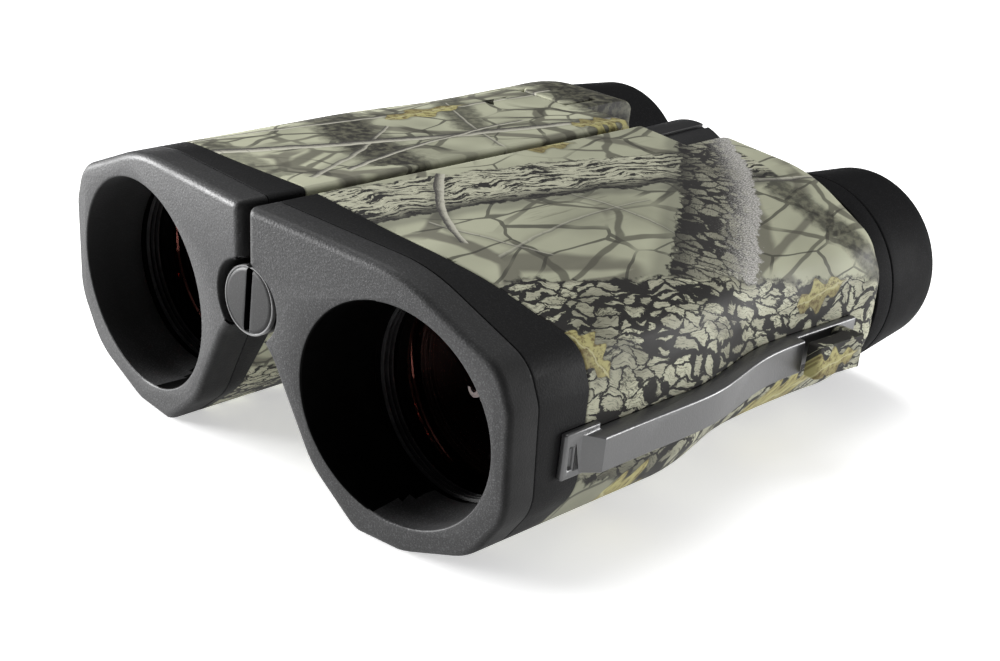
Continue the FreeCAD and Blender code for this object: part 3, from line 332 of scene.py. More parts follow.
def turned_film(g, given):
    """Film coordinates from a stroke's start, along and across its direction."""
    moved = g.vector("SUBTRACT", given["Film"], given["Start"])
    turned = g.new("ShaderNodeVectorRotate", {"Vector": moved, "Angle": g.times(given["Turn"], -1.0)},
                   rotation_type="Z_AXIS")
    return g.split(turned.outputs[0])


def build_grain():
    """Fine moulded grain: a height for Bump and a value that varies the roughness."""
    g, given, result = new_group(
        "Moulded Grain",
        [("Vector", "Vector", None), ("Scale", "Float", GRAIN_SCALE)],
        [("Height", "Float"), ("Variation", "Float")])
    fine = g.noise(given["Vector"], given["Scale"], 2.0, 0.6)
    cells = g.voronoi(given["Vector"], given["Scale"])
    g.put(result["Height"], g.plus(g.times(fine, 0.7), g.times(cells, 0.5)))
    g.put(result["Variation"], g.noise(given["Vector"], 60.0, 3.0, 0.6))


def build_edge_mask():
    """Share of each rounded edge, broken up by noise; the finishes pale or tint edges with it, and their
    paleness is part handling wear, part painted highlight.
    """
    g, given, result = new_group(
        "Handled Edges",
        [("Vector", "Vector", None), ("Radius", "Float", 0.0006), ("Amount", "Float", 1.0)],
        [("Edge", "Float")])
    rounded = g.new("ShaderNodeBevel", {"Radius": given["Radius"]}, samples=4).outputs["Normal"]
    plain = g.new("ShaderNodeNewGeometry").outputs["Normal"]
    alike = g.filled("ShaderNodeVectorMath", "DOT_PRODUCT", (rounded, plain))["Value"]
    edge = g.step(g.rest(alike), 0.02, 0.25)
    patchy = g.step(g.noise(given["Vector"], 260.0, 4.0, 0.65), 0.38, 0.62)
    g.put(result["Edge"], g.times(edge, patchy, given["Amount"]))


def build_stroke():
    """A bent, tapering stroke on the wrapped film: its mask, soft shadow, and places along and across it."""
    g, given, result = new_group(
        "Stroke",
        [*STROKE_SOCKETS, ("Rag", "Float", 0.15), ("Blur", "Float", 0.12)],
        [("Mask", "Float"), ("Shadow", "Float"), ("Along", "Float"), ("Across", "Float")])
    parts = turned_film(g, given)
    along = parts["X"]
    share = g.math("DIVIDE", along, given["Length"])
    arch = g.times(share, g.rest(share), 4.0)
    wander = g.less(g.noise(given["Film"], 0.11, 2.0, 0.5), 0.5)
    sway = g.times(wander, g.plus(g.times(given["Width"], 0.12), 1.8))
    centre = g.plus(g.times(arch, given["Bend"]), sway)
    off = g.less(parts["Y"], centre)
    narrow = g.rest(g.times(given["Taper"], share))
    half = g.times(given["Width"], 0.5, g.math("MAXIMUM", narrow, 0.05))
    across = g.math("DIVIDE", off, half)
    ragged = g.times(g.less(g.noise(given["Film"], 0.55, 4.0, 0.6), 0.5), g.times(given["Rag"], 2.0))
    edge = g.plus(g.absolute(across), ragged)
    inside = g.rest(g.step(edge, g.rest(given["Blur"]), 1.0))
    begun = g.step(g.plus(along, g.times(ragged, 4.0)), -0.3, 0.3)
    ended = g.rest(g.step(g.less(along, given["Length"]), -0.4, 0.4))
    run = g.times(begun, ended)
    low_side = g.absolute(g.less(off, g.times(half, 0.35)))
    shade = g.rest(g.step(low_side, g.times(half, 0.8), g.plus(half, 1.6)))
    g.put(result["Mask"], g.times(inside, run))
    g.put(result["Shadow"], g.times(shade, run))
    g.put(result["Along"], along)
    g.put(result["Across"], across)


def build_branch():
    """Smooth barked branch, lit from one side."""
    ring_tint = (0.09, 0.085, 0.075)
    dark_side = (0.045, 0.042, 0.04)
    fleck_tint = (0.6, 0.59, 0.48)
    g, given, result = picture_group("Branch", ("Blur", "Float", 0.15),
                                     ("Lit", "Color", (0.4, 0.4, 0.34, 1.0)), ("Strength", "Float", 1.0))
    stroke = stroke_in(g, given, Blur=given["Blur"])
    around = g.join(g.times(stroke["Along"], 0.35), g.times(stroke["Across"], 1.6))
    bark = g.noise(around, 2.2, 5.0, 0.7)
    rings = g.step(g.noise(g.join(stroke["Along"]), 0.55, 3.0, 0.8), 0.56, 0.66)
    light = g.step(g.plus(g.times(stroke["Across"], -1.0), g.swing(bark, 1.3)), -0.75, 0.75)
    skin = g.mix(light, dark_side, g.partly(rings, 0.55, given["Lit"], ring_tint))
    flecks = g.step(g.noise(given["Film"], 2.6, 3.0, 0.75), 0.6, 0.7)
    skin = g.partly(flecks, 0.5, skin, fleck_tint)
    shaded = g.mix(g.times(stroke["Shadow"], 0.35, given["Strength"]), given["Under"], (0.05, 0.05, 0.04))
    g.put(result["Color"], g.partly(stroke["Mask"], given["Strength"], shaded, skin))


def build_bark():
    """Plated bark: pale scales with near-black cracks, in rows along the log."""
    g, given, result = new_group(
        "Plated Bark",
        [("Along", "Float", 0.0), ("Over", "Float", 0.0), ("Scale", "Float", 0.34),
         ("Stretch", "Float", 0.52), *BARK_SOCKETS, ("Crack", "Float", 0.05)],
        [("Color", "Color")])
    flat = g.join(g.times(given["Along"], given["Stretch"]), given["Over"])
    bent = g.vector("ADD", flat, g.drift(flat, 0.28, 3.0, 0.6, 3.2))
    bent = g.vector("ADD", bent, g.drift(flat, 1.5, 4.0, 0.7, 1.3))
    crack = g.cracks(bent, given["Scale"])
    fine = g.cracks(g.vector("ADD", bent, (3.7, 9.1, 0.0)), g.times(given["Scale"], 2.3))
    gape = g.step(g.noise(flat, 0.10, 2.0), 0.40, 0.64)
    open_width = g.times(given["Crack"], g.plus(0.7, g.times(gape, 2.6)))
    ragged = g.plus(crack, g.swing(g.noise(flat, 2.4, 4.0, 0.75), 0.16))
    plate = g.step(ragged, open_width, g.plus(open_width, 0.03))
    tone = g.split(g.voronoi(bent, given["Scale"], output="Color"))["X"]
    scale = g.partly(tone, 0.55, given["Pale"], (0.17, 0.165, 0.13))
    streaks = g.step(g.noise(g.scaled(flat, (0.5, 2.2, 1.0)), 1.5, 4.0, 0.75), 0.53, 0.60)
    scale = g.partly(streaks, 0.75, scale, (0.05, 0.047, 0.04))
    splits = g.rest(g.step(g.plus(fine, g.times(tone, 0.12)), 0.02, 0.08))
    scale = g.partly(splits, 0.85, scale, given["Dark"])
    patches = g.step(g.noise(flat, 0.07, 3.0, 0.55), 0.46, 0.66)
    scale = g.mix(g.times(patches, 0.6), scale, (0.28, 0.27, 0.25), "MULTIPLY")
    g.put(result["Color"], g.mix(plate, given["Dark"], scale))


def build_ridges():
    """Ridged bark of a thin log: long broken furrows that run along it."""
    g, given, result = new_group(
        "Ridged Bark", [("Along", "Float", 0.0), ("Over", "Float", 0.0), *BARK_SOCKETS], [("Color", "Color")])
    sway = g.times(g.noise(g.join(given["Along"], given["Over"]), 0.07, 2.0, 0.5), 9.0)
    over = g.plus(given["Over"], sway)
    long_run = g.join(g.times(given["Along"], 0.13), over)
    short_run = g.join(g.times(given["Along"], 0.55), over)
    furrow = g.noise(long_run, 0.95, 4.0, 0.62)
    broken = g.noise(short_run, 1.4, 4.0, 0.7)
    ridge = g.step(g.plus(g.times(furrow, 0.68), g.times(broken, 0.32)), 0.47, 0.50)
    marked = g.step(g.noise(long_run, 3.3, 4.0, 0.8), 0.35, 0.62)
    pale = g.partly(marked, 0.5, given["Pale"], (0.13, 0.125, 0.11))
    g.put(result["Color"], g.mix(ridge, given["Dark"], pale))


def build_logs():
    """Logs: a stroke with bark across it, dark towards its lower side."""
    for name, bark in (("Plated Log", "Plated Bark"), ("Ridged Log", "Ridged Bark")):
        g, given, result = picture_group(name, ("Rag", "Float", 0.15), ("Blur", "Float", 0.06), *BARK_SOCKETS,
                                         ("Roundness", "Float", 1.0))
        stroke = stroke_in(g, given, Rag=given["Rag"], Blur=given["Blur"])
        over = g.times(stroke["Across"], g.times(given["Width"], 0.5))
        skin = g.group(bark, {"Along": stroke["Along"], "Over": over, "Pale": given["Pale"],
                              "Dark": given["Dark"]})["Color"]
        uneven = g.plus(stroke["Across"], g.times(g.noise(given["Film"], 0.4, 3.0, 0.7), 0.3))
        skin = g.partly(g.step(uneven, 0.45, 1.15), given["Roundness"], skin, given["Dark"])
        skin = g.partly(g.step(g.absolute(stroke["Across"]), 0.9, 1.0), 0.85, skin, given["Dark"])
        shaded = g.partly(stroke["Shadow"], 0.45, given["Under"], (0.06, 0.06, 0.05))
        g.put(result["Color"], g.mix(stroke["Mask"], shaded, skin))


def build_stub():
    """A thick broken branch with dark bark on one side and pale lichen on the other."""
    g, given, result = picture_group("Lichen Stub", *BARK_SOCKETS)
    stroke = stroke_in(g, given, Rag=0.26, Blur=0.07)
    over = g.times(stroke["Across"], g.times(given["Width"], 0.5))
    bark = g.group("Plated Bark", {"Along": g.times(stroke["Along"], 1.2), "Over": over, "Scale": 0.42,
                                   "Stretch": 0.8, "Crack": 0.06, "Pale": given["Pale"],
                                   "Dark": given["Dark"]})["Color"]
    bark = g.mix(0.45, bark, (0.035, 0.033, 0.033))
    hairs = g.noise(g.scaled(given["Film"], (1.0, 2.6, 1.0)), 1.5, 5.0, 0.75)
    lichen = g.mix(g.step(hairs, 0.36, 0.62), (0.13, 0.125, 0.12), (0.50, 0.49, 0.46))
    grown = g.step(g.plus(g.times(stroke["Across"], -1.0), g.swing(hairs, 2.6)), 0.05, 0.95)
    skin = g.partly(g.step(stroke["Across"], 0.25, 0.9), 0.75, g.mix(grown, bark, lichen), given["Dark"])
    shaded = g.partly(stroke["Shadow"], 0.4, given["Under"], (0.04, 0.04, 0.035))
    g.put(result["Color"], g.mix(stroke["Mask"], shaded, skin))


def build_far_trunk():
    """Soft dark trunk far behind, out of focus."""
    g, given, result = picture_group("Far Trunk", ("Strength", "Float", 0.7))
    stroke = stroke_in(g, given, Rag=0.3, Blur=0.6)
    patches = g.step(g.noise(given["Film"], 0.5, 3.0, 0.6), 0.4, 0.65)
    mottled = g.mix(patches, (0.022, 0.021, 0.018), (0.10, 0.098, 0.07))
    g.put(result["Color"], g.partly(stroke["Mask"], given["Strength"], given["Under"], mottled))


def build_leaf():
    """A dead leaf with lobes, a midrib and side veins."""
    blotch_tint = (0.11, 0.08, 0.032)
    low_tint = (0.10, 0.07, 0.03)
    vein_tint = (0.33, 0.31, 0.17)
    rib_tint = (0.40, 0.38, 0.22)
    rim_tint = (0.07, 0.05, 0.025)
    g, given, result = new_group(
        "Dead Leaf",
        [("Under", "Color", None), *FILM_SOCKETS, ("Length", "Float", 14.0), ("Width", "Float", 7.0),
         ("Lobes", "Float", 5.0), ("Tint", "Color", (0.5, 0.44, 0.22, 1.0))],
        [("Color", "Color")])
    parts = turned_film(g, given)
    share = g.math("DIVIDE", parts["X"], given["Length"])
    belly = g.math("SINE", g.times(g.math("POWER", g.math("MAXIMUM", share, 0.0), 0.75), math.pi))
    waves = g.math("SINE", g.times(share, g.times(given["Lobes"], 2.0 * math.pi)))
    half = g.times(given["Width"], 0.5, belly, g.plus(0.72, g.times(waves, 0.28)))
    off = g.plus(parts["Y"], g.swing(g.noise(given["Film"], 0.35), 2.2))
    room = g.less(half, g.absolute(off))
    run = g.times(g.step(share, 0.0, 0.02), g.rest(g.step(share, 0.98, 1.0)))
    slant = g.plus(parts["X"], g.times(g.absolute(off), -0.9))
    between_veins = g.step(g.absolute(g.math("SINE", g.times(slant, 1.9))), 0.0, 0.16)
    skin = g.mix(g.step(g.noise(given["Film"], 0.7, 4.0, 0.65), 0.42, 0.66), given["Tint"], blotch_tint)
    skin = g.partly(g.step(off, -0.5, 1.8), 0.5, skin, low_tint)
    skin = g.partly(g.rest(between_veins), 0.35, skin, vein_tint)
    skin = g.partly(g.rest(g.step(g.absolute(off), 0.08, 0.26)), 0.8, skin, rib_tint)
    skin = g.partly(g.rest(g.step(room, 0.05, 0.4)), 0.7, skin, rim_tint)
    shaded = g.partly(g.times(g.step(room, -1.3, 0.4), run), 0.5, given["Under"], (0.05, 0.05, 0.04))
    g.put(result["Color"], g.mix(g.times(g.step(room, 0.0, 0.18), run), shaded, skin))


def build_undergrowth():
    """Sage ground with faint twigs far behind, soft shade and blurred grass."""
    # scale, line, blur, tint and offset of each layer of twigs, the farthest first
    layers = ((0.036, 0.026, 0.03, (0.10, 0.095, 0.075), 0.0),
              (0.055, 0.022, 0.016, (0.07, 0.067, 0.052), 31.0),
              (0.085, 0.018, 0.010, (0.04, 0.038, 0.031), 77.0))
    g, given, result = new_group(
        "Undergrowth",
        [("Film", "Vector", None), ("Ground", "Color", (0.46, 0.475, 0.335, 1.0)), ("Seed", "Float", 0.0)],
        [("Color", "Color")])
    film = g.vector("ADD", given["Film"], g.join(given["Seed"], g.times(given["Seed"], 1.7)))
    haze = g.step(g.noise(film, 0.028, 3.0, 0.5), 0.40, 0.68)
    ground = g.partly(haze, 0.6, given["Ground"], (0.20, 0.203, 0.148))
    bright = g.step(g.noise(film, 0.045, 2.0, 0.5), 0.5, 0.75)
    ground = g.partly(bright, 0.4, ground, (0.53, 0.54, 0.40))
    for scale, line, blur, tint, offset in layers:
        shifted = g.vector("ADD", g.scaled(film, (0.62, 1.0, 1.0)), (offset, offset * 0.7, 0.0))
        web = g.cracks(g.vector("ADD", shifted, g.drift(shifted, 0.09, 2.0, 0.5, 4.5)), scale)
        thick = g.times(g.noise(shifted, 0.06, 1.0), line * 2.0)
        twig = g.rest(g.step(web, thick, g.plus(thick, blur)))
        here = g.step(g.noise(shifted, 0.05, 2.0), 0.40, 0.52)
        ground = g.mix(g.times(twig, here, 0.8), ground, tint)
    grass = g.noise(g.scaled(film, (0.05, 0.9, 1.0)), 0.8, 3.0, 0.6)
    where = g.step(g.noise(film, 0.03, 1.0), 0.56, 0.66)
    ground = g.mix(g.times(g.step(grass, 0.52, 0.62), where, 0.5), ground, (0.09, 0.085, 0.06))
    g.put(result["Color"], ground)


def build_groups():
    for build in (build_grain, build_edge_mask, build_stroke, build_branch, build_bark, build_ridges,
                  build_logs, build_stub, build_far_trunk, build_leaf, build_undergrowth):
        build()


# ---------------------------------------------------------------- finishes

def start_material(name, constants):
    """A material with its graph, its shader's sockets and Object coordinates.

    The constants fill the sockets whose value is the same all over."""
    material = bpy.data.materials.new(name)
    material.use_nodes = True
    material.node_tree.nodes.clear()
    g = Graph(material.node_tree)
    shader = g.new("ShaderNodeBsdfPrincipled", constants)
    g.new("ShaderNodeOutputMaterial", {"Surface": shader.outputs[0]})
    place = g.new("ShaderNodeTexCoord").outputs["Object"]
    return material, g, shader.inputs, place


def faded(tint, share):
    return tuple(share * part for part in tint)


def hood_plastic(name, tint, side_shade_tint):
    """Fine-grained hood plastic, satin in front and rougher towards the sides, with painted shade that
    darkens the sides, by the side attribute.
    """
    material, g, shader, place = start_material(name, {"Specular IOR Level": 0.3})
    grain = g.group("Moulded Grain", {"Vector": place, "Scale": GRAIN_SCALE})
    edge = g.group("Handled Edges", {"Vector": place, "Amount": 0.3})["Edge"]
    side = g.attribute("side", "Fac")
    # Painted shade: the tint darkens towards the shaded side tint as the surface turns sideways.
    mottled = g.partly(grain["Variation"], 0.35, g.mix(side, tint, side_shade_tint), faded(side_shade_tint, 0.6))
    sand = g.step(g.noise(place, 3300.0, 1.0, 0.5), 0.52, 0.68)
    sandy = g.partly(sand, g.span(side, 0.0, 1.0, 0.16, 0.02), mottled, PALE_GREY)
    # Paler edges: part handling wear, part painted highlight, less of it on the sides.
    marked = g.partly(edge, g.span(side, 0.0, 1.0, 1.0, 0.15), sandy, (0.14, 0.14, 0.145))
    satin = g.span(grain["Variation"], 0.3, 0.7, 0.46, 0.58)
    g.put(shader["Base Color"], marked)
    g.put(shader["Roughness"], g.plus(satin, g.times(side, 0.3)))
    g.put(shader["Normal"], g.bump(grain["Height"], 0.00012, 0.55))
    return material


def moulded(name, tint, rough=0.5, grain_scale=GRAIN_SCALE, relief=0.00004, wear_and_highlight=0.12, pale_tint=PALE_GREY,
            specular=0.5):
    """Moulded plastic or rubber with fine grain, broad handling marks and paler edges, part handling wear and
    part painted highlight.
    """
    material, g, shader, place = start_material(name, {"Specular IOR Level": specular})
    grain = g.group("Moulded Grain", {"Vector": place, "Scale": grain_scale})
    edge = g.group("Handled Edges", {"Vector": place, "Amount": wear_and_highlight})["Edge"]
    mottled = g.partly(grain["Variation"], 0.35, tint, faded(tint, 0.6))
    sand = g.step(g.noise(place, 3600.0, 1.0, 0.5), 0.54, 0.70)
    sandy = g.partly(sand, 0.05, mottled, pale_tint)
    # Paler edges: part handling wear, part painted highlight.
    g.put(shader["Base Color"], g.mix(edge, sandy, pale_tint))
    g.put(shader["Roughness"], g.span(grain["Variation"], 0.3, 0.7, rough - 0.05, rough + 0.07))
    g.put(shader["Normal"], g.bump(grain["Height"], relief, 0.55))
    return material


def metal(name, tint, rough):
    """Turned metal with fine tool lines and faint stains."""
    material, g, shader, place = start_material(name, {"Metallic": 1.0})
    lines = g.noise(g.scaled(place, (0.08, 1.0, 0.08)), 9000.0, 3.0, 0.6)
    stains = g.noise(place, 180.0, 3.0, 0.6)
    g.put(shader["Base Color"], g.partly(stains, 0.4, tint, faded(tint, 0.55)))
    g.put(shader["Roughness"], g.span(lines, 0.3, 0.7, rough - 0.08, rough + 0.12))
    g.put(shader["Normal"], g.bump(lines, 0.00001, 0.3))
    return material


def glass(name, tint, coat_tint):
    """Coated glass: clear, with a coloured coating and faint dust."""
    material, g, shader, place = start_material(name, {
        "Transmission Weight": 1.0, "IOR": 1.52, "Coat Weight": 0.6, "Coat Roughness": 0.02, "Coat IOR": 1.7,
        "Coat Tint": coat_tint})
    dust = g.step(g.noise(place, 900.0, 4.0, 0.75), 0.62, 0.8)
    g.put(shader["Base Color"], g.partly(dust, 0.06, tint, (0.7, 0.7, 0.7)))
    g.put(shader["Roughness"], g.span(dust, 0.0, 1.0, 0.015, 0.09))
    return material


def board(name):
    """Printed board: green resist with paler tracks."""
    material, g, shader, place = start_material(name, {})
    tracks = g.cracks(g.scaled(place, (1.0, 1.0, 0.2)), 420.0, 0.35)
    line = g.rest(g.step(tracks, 0.04, 0.09))
    g.put(shader["Base Color"], g.mix(line, (0.012, 0.085, 0.03), (0.03, 0.19, 0.07)))
    g.put(shader["Roughness"], g.span(g.noise(place, 700.0), 0.0, 1.0, 0.28, 0.5))
    return material


def lens_stop(name):
    """Blackened inside of the tubes, ridged against stray light; its near-black is also painted shade on the
    hood bores and in the coin slot.
    """
    material, g, shader, place = start_material(name, {"Specular IOR Level": 0.03})
    dull = g.noise(place, 400.0, 3.0, 0.6)
    g.put(shader["Base Color"], g.mix(dull, (0.0004, 0.0004, 0.0004), (0.0012, 0.0012, 0.0012)))
    g.put(shader["Roughness"], g.span(dull, 0.3, 0.7, 0.42, 0.55))
    g.put(shader["Normal"], g.bump(g.noise(place, 2500.0, 2.0), 0.00002, 0.4))
    return material


# The group that draws each kind of stroke, the sockets that its own numbers fill, and its colours
BARK_TINTS = {"Pale": "bark_pale", "Dark": "bark_dark"}
STROKE_KINDS = {
    "smear": ("Far Trunk", ("Bend", "Taper", "Strength"), {}),
    "branch": ("Branch", ("Bend", "Taper", "Blur", "Strength"), {"Lit": "twig"}),
    "ridged": ("Ridged Log", ("Bend", "Taper", "Rag", "Roundness"), BARK_TINTS),
    "plated": ("Plated Log", ("Bend", "Taper", "Rag", "Roundness"), BARK_TINTS),
    "stub": ("Lichen Stub", ("Bend", "Taper"), BARK_TINTS),
    "leaf": ("Dead Leaf", ("Lobes",), {"Tint": "leaf"}),
}

# Strokes on the wrapped film, in mm along the hinge and mm outwards from the seam between the halves:
# kind, start along, start outwards, turn in degrees, length and width, then the kind's own numbers
LEFT_FILM = (
    ("smear", 112, 40, 70, 44, 12, 2.0, 0.2, 0.85),
    ("branch", 24, 22, 58, 26, 1.4, 1.5, 0.5, 0.35, 0.65),
    ("branch", 26, 40, -6, 50, 1.3, -2.2, 0.5, 0.45, 0.55),
    ("branch", 62, 24, 66, 34, 1.2, 1.2, 0.5, 0.4, 0.6),
    ("branch", 100, 34, 16, 32, 2.0, 2.0, 0.3, 0.25, 0.9),
    ("ridged", 4, 8.5, 11.5, 116, 17, -4.2, 0.0, 0.16, 1.0),
    ("branch", 45, 4, 128, 36, 2.3, 2.0, 0.25, 0.12, 1.0),
    ("stub", 121, 13, 132, 84, 12.0, 1.5, -1.5),
    ("plated", -4, 63, 17, 142, 50, 2.5, 0.08, 0.10, 0.5),
    ("leaf", 25, 66, 62, 17, 10, 4),
    ("leaf", 98, 79, -8, 17, 9, 3),
    ("leaf", 68, -1.5, 16, 20, 9, 3),
    ("leaf", 40, 104, 12, 20, 9, 3),
    ("leaf", 92, 99, -6, 20, 9, 4),
)
RIGHT_FILM = (
    ("smear", 42, 2, 70, 50, 20, 2.0, 0.1, 1.0),
    ("smear", 116, 6, 84, 60, 26, -2.0, 0.1, 1.0),
    ("smear", 74, 14, 58, 44, 12, 1.0, 0.2, 0.8),
    ("smear", 16, 8, 84, 40, 9, 1.0, 0.2, 0.6),
    ("branch", 20, 5, 28, 44, 1.6, -1.5, 0.4, 0.3, 0.8),
    ("branch", 70, 2, 66, 36, 1.3, 1.0, 0.4, 0.3, 0.7),
    ("branch", 6, 31, -13, 118, 3.2, -3.4, 0.35, 0.14, 1.0),
    ("branch", 14, 40, -6, 100, 1.7, -2.5, 0.4, 0.2, 0.9),
    ("branch", 30, 5, 9, 60, 1.5, 2.5, 0.4, 0.16, 1.0),
    ("plated", 4, 76, 4, 132, 46, 3.0, 0.08, 0.12, 0.6),
    ("leaf", 62, 30, 2, 26, 8, 3),
    ("leaf", 96, 6, -8, 17, 9, 4),
    ("leaf", 22, 92, 16, 22, 10, 4),
)


def camouflage(name, film_strokes, seed):
    """Printed woodland film with a soft sheen, laid out in millimetres by the film attribute."""
    colours = bpy.context.scene.rangefinder_colours
    material, g, shader, place = start_material(name, {
        "Coat Weight": 0.01, "Coat Roughness": 0.35, "Specular IOR Level": 0.13})
    film = g.attribute("film", "Vector")
    picture = g.group("Undergrowth", {"Film": film, "Ground": tuple(colours.ground), "Seed": seed})["Color"]
    for kind, along, outwards, turn, run, width, *own in film_strokes:
        group, sockets, tints = STROKE_KINDS[kind]
        inputs = {"Under": picture, "Film": film, "Start": (along, outwards, 0.0), "Turn": math.radians(turn),
                  "Length": run, "Width": width, **dict(zip(sockets, own))}
        inputs.update({key: tuple(getattr(colours, tint)) for key, tint in tints.items()})
        picture = g.group(group, inputs)["Color"]
    printed = g.partly(g.noise(place, 3000.0, 2.0, 0.6), 0.04, picture, (0.3, 0.3, 0.25))
    edge = g.group("Handled Edges", {"Vector": place, "Amount": 0.55, "Radius": 0.0007})["Edge"]
    g.put(shader["Base Color"], g.mix(edge, printed, (0.10, 0.115, 0.06)))
    g.put(shader["Roughness"], g.span(g.noise(place, 120.0, 3.0), 0.3, 0.7, 0.5, 0.62))
    g.put(shader["Normal"], g.bump(g.noise(place, 900.0, 2.0), 0.00003, 0.25))
    return material


def make_finishes():
    colours = bpy.context.scene.rangefinder_colours
    build_groups()
    shell = tuple(colours.shell)
    rubber = tuple(colours.rubber)
    return {
        # The hood's second tint is painted shade on its sides.
        "hood": hood_plastic("Hood Plastic", faded(shell, 1.05), faded(shell, 0.4)),
        "collar": moulded("Collar Plastic", faded(shell, 0.6), rough=0.55, relief=0.0001, wear_and_highlight=0.1,
                          specular=0.07),
        "bar": moulded("Bar Plastic", (0.042, 0.042, 0.043), rough=0.38, relief=0.00005, wear_and_highlight=0.25,
                       specular=0.9),
        "rubber": moulded("Eyecup Rubber", rubber, rough=0.66, relief=0.00006, wear_and_highlight=0.06,
                          grain_scale=RUBBER_GRAIN_SCALE, specular=0.05),
        "wheel": moulded("Wheel Rubber", rubber, rough=0.6, relief=0.00006, wear_and_highlight=0.08,
                         grain_scale=RUBBER_GRAIN_SCALE, specular=0.3),
        "cap": moulded("Battery Cap Plastic", faded(colours.cap, 0.25), relief=0.00003, wear_and_highlight=0.25,
                       pale_tint=(0.3, 0.3, 0.31), specular=0.2),
        "rim": moulded("Cap Rim Plastic", (0.11, 0.11, 0.11), rough=0.35, wear_and_highlight=0.3, specular=0.6),
        "black": moulded("Black Polymer", shell),
        "grey": moulded("Grey Polymer", PALE_GREY),
        "stop": lens_stop("Blackened Tube"),
        "ring": moulded("Baffle Black", (0.008, 0.008, 0.008), rough=0.35, specular=0.4),
        "objective": glass("Objective Glass", (0.97, 0.93, 0.92), (1.0, 0.62, 0.55)),
        "eye": glass("Eye Lens Glass", (0.95, 0.97, 0.95), (0.55, 0.8, 0.62)),
        "alloy": metal("Black Alloy", (0.05, 0.05, 0.055), rough=0.4),
        "brass": metal("Brass", (0.70, 0.52, 0.24), rough=0.28),
        "steel": metal("Steel", (0.55, 0.55, 0.56), rough=0.25),
        "nickel": metal("Nickel", (0.66, 0.63, 0.58), rough=0.22),
        "board": board("Board Resist"),
        "film_left": camouflage("Left Film", LEFT_FILM, seed=13.0),
        "film_right": camouflage("Right Film", RIGHT_FILM, seed=141.0),
    }


finishes = {}


# ---------------------------------------------------------------- mesh helpers

def start_clear():
    """Nothing selected, object mode."""
    if bpy.context.object and bpy.context.object.mode != "OBJECT":
        bpy.ops.object.mode_set(mode="OBJECT")
    bpy.ops.object.select_all(action="DESELECT")


def pick(piece):
    start_clear()
    piece.select_set(True)
    bpy.context.view_layer.objects.active = piece


def finish_piece(piece, body, finish, stands_for=()):
    piece.data.materials.clear()
    piece.data.materials.append(finishes[finish])
    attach(piece, body)
    if stands_for:
        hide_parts(*stands_for)
    return piece


def round_edges(piece, width, sharp):
    """Rounds the edges whose faces turn by more than the sharp angle, in degrees."""
    pick(piece)
    bevel = piece.modifiers.new("Rounded edges", "BEVEL")
    bevel.width = width
    bevel.segments = bpy.context.scene.rangefinder_sizes.edge_steps
    bevel.limit_method = "ANGLE"
    bevel.angle_limit = math.radians(sharp)
    bevel.use_clamp_overlap = False
    bevel.harden_normals = False
    bpy.ops.object.modifier_apply(modifier=bevel.name)


def skin_of(node, name, edge=0.0, sharp=40):
    """A merged copy of a CAD node's mesh, with its sharp edges rounded and its curved faces smooth."""
    piece = bpy.data.objects.new(name, frame["nodes"][node].data.copy())
    bpy.context.scene.collection.objects.link(piece)
    pick(piece)
    piece.data.materials.clear()
    bpy.ops.object.mode_set(mode="EDIT")
    bpy.ops.mesh.select_all(action="SELECT")
    bpy.ops.mesh.customdata_custom_splitnormals_clear()
    bpy.ops.mesh.remove_doubles(threshold=MERGE_DISTANCE)
    bpy.ops.mesh.dissolve_degenerate(threshold=MERGE_DISTANCE)
    bpy.ops.mesh.dissolve_limited(angle_limit=FLAT_ANGLE)
    bpy.ops.mesh.tris_convert_to_quads(face_threshold=QUAD_BEND, shape_threshold=QUAD_SKEW)
    bpy.ops.mesh.select_all(action="DESELECT")
    bpy.ops.object.mode_set(mode="OBJECT")
    if edge > 0.0:
        round_edges(piece, edge, sharp)
    pick(piece)
    bpy.ops.object.shade_smooth_by_angle(angle=SMOOTH_ANGLE)
    return piece


def skin_for(node, name, finish, edge=0.0, sharp=40):
    """A finished skin that stands for one CAD node and rides on its body."""
    return finish_piece(skin_of(node, name, edge, sharp), BODY_OF[node], finish, [node])


def frame_middle(node):
    low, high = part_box(node)
    return (low + high) / 2


def frame_front(node):
    """Y of a CAD node's foremost point."""
    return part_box(node)[0].y


def paint_bore_shade(piece, axis):
    """Paints the faces inside a round opening along Y, which look towards the optical axis at this X,
    near-black as painted shade inside the bore.
    """
    piece.data.materials.append(finishes["stop"])
    for face in piece.data.polygons:
        out = Vector((face.center.x - axis, face.center.z - AXIS_HEIGHT * MM))
        inward = Vector((face.normal.x, face.normal.z)).dot(out) < 0.0
        if out.length < BORE_RADIUS and inward and abs(face.normal.y) < BORE_END:
            face.material_index = 1


def mark_sides(piece):
    """Stores for each corner how far its surface turns from the front towards the sides, which the hood's
    finish uses for its roughness and for painted shade.
    """
    mesh = piece.data
    layer = mesh.attributes.new("side", "FLOAT", "CORNER")
    sideways = [(abs(vertex.normal.x) - SIDE_START) / SIDE_SPAN for vertex in mesh.vertices]
    turned = [min(max(share, 0.0), 1.0) for share in sideways]
    layer.data.foreach_set("value", [turned[loop.vertex_index] for loop in mesh.loops])


def paint_slot_shade(piece):
    """Paints the walls and the floor of the coin slot near-black, as painted shade in the recess."""
    middle = frame_middle("battery_cap")
    start = frame_front("battery_cap")
    piece.data.materials.append(finishes["stop"])
    for face in piece.data.polygons:
        near = abs(face.center.x - middle.x) < COIN_SLOT_HALF
        front = face.center.y < start + COIN_SLOT_DEPTH
        facing = face.normal.y < FORWARD and face.center.y < start + COIN_FACE_DEPTH
        if near and front and not facing:
            face.material_index = 1


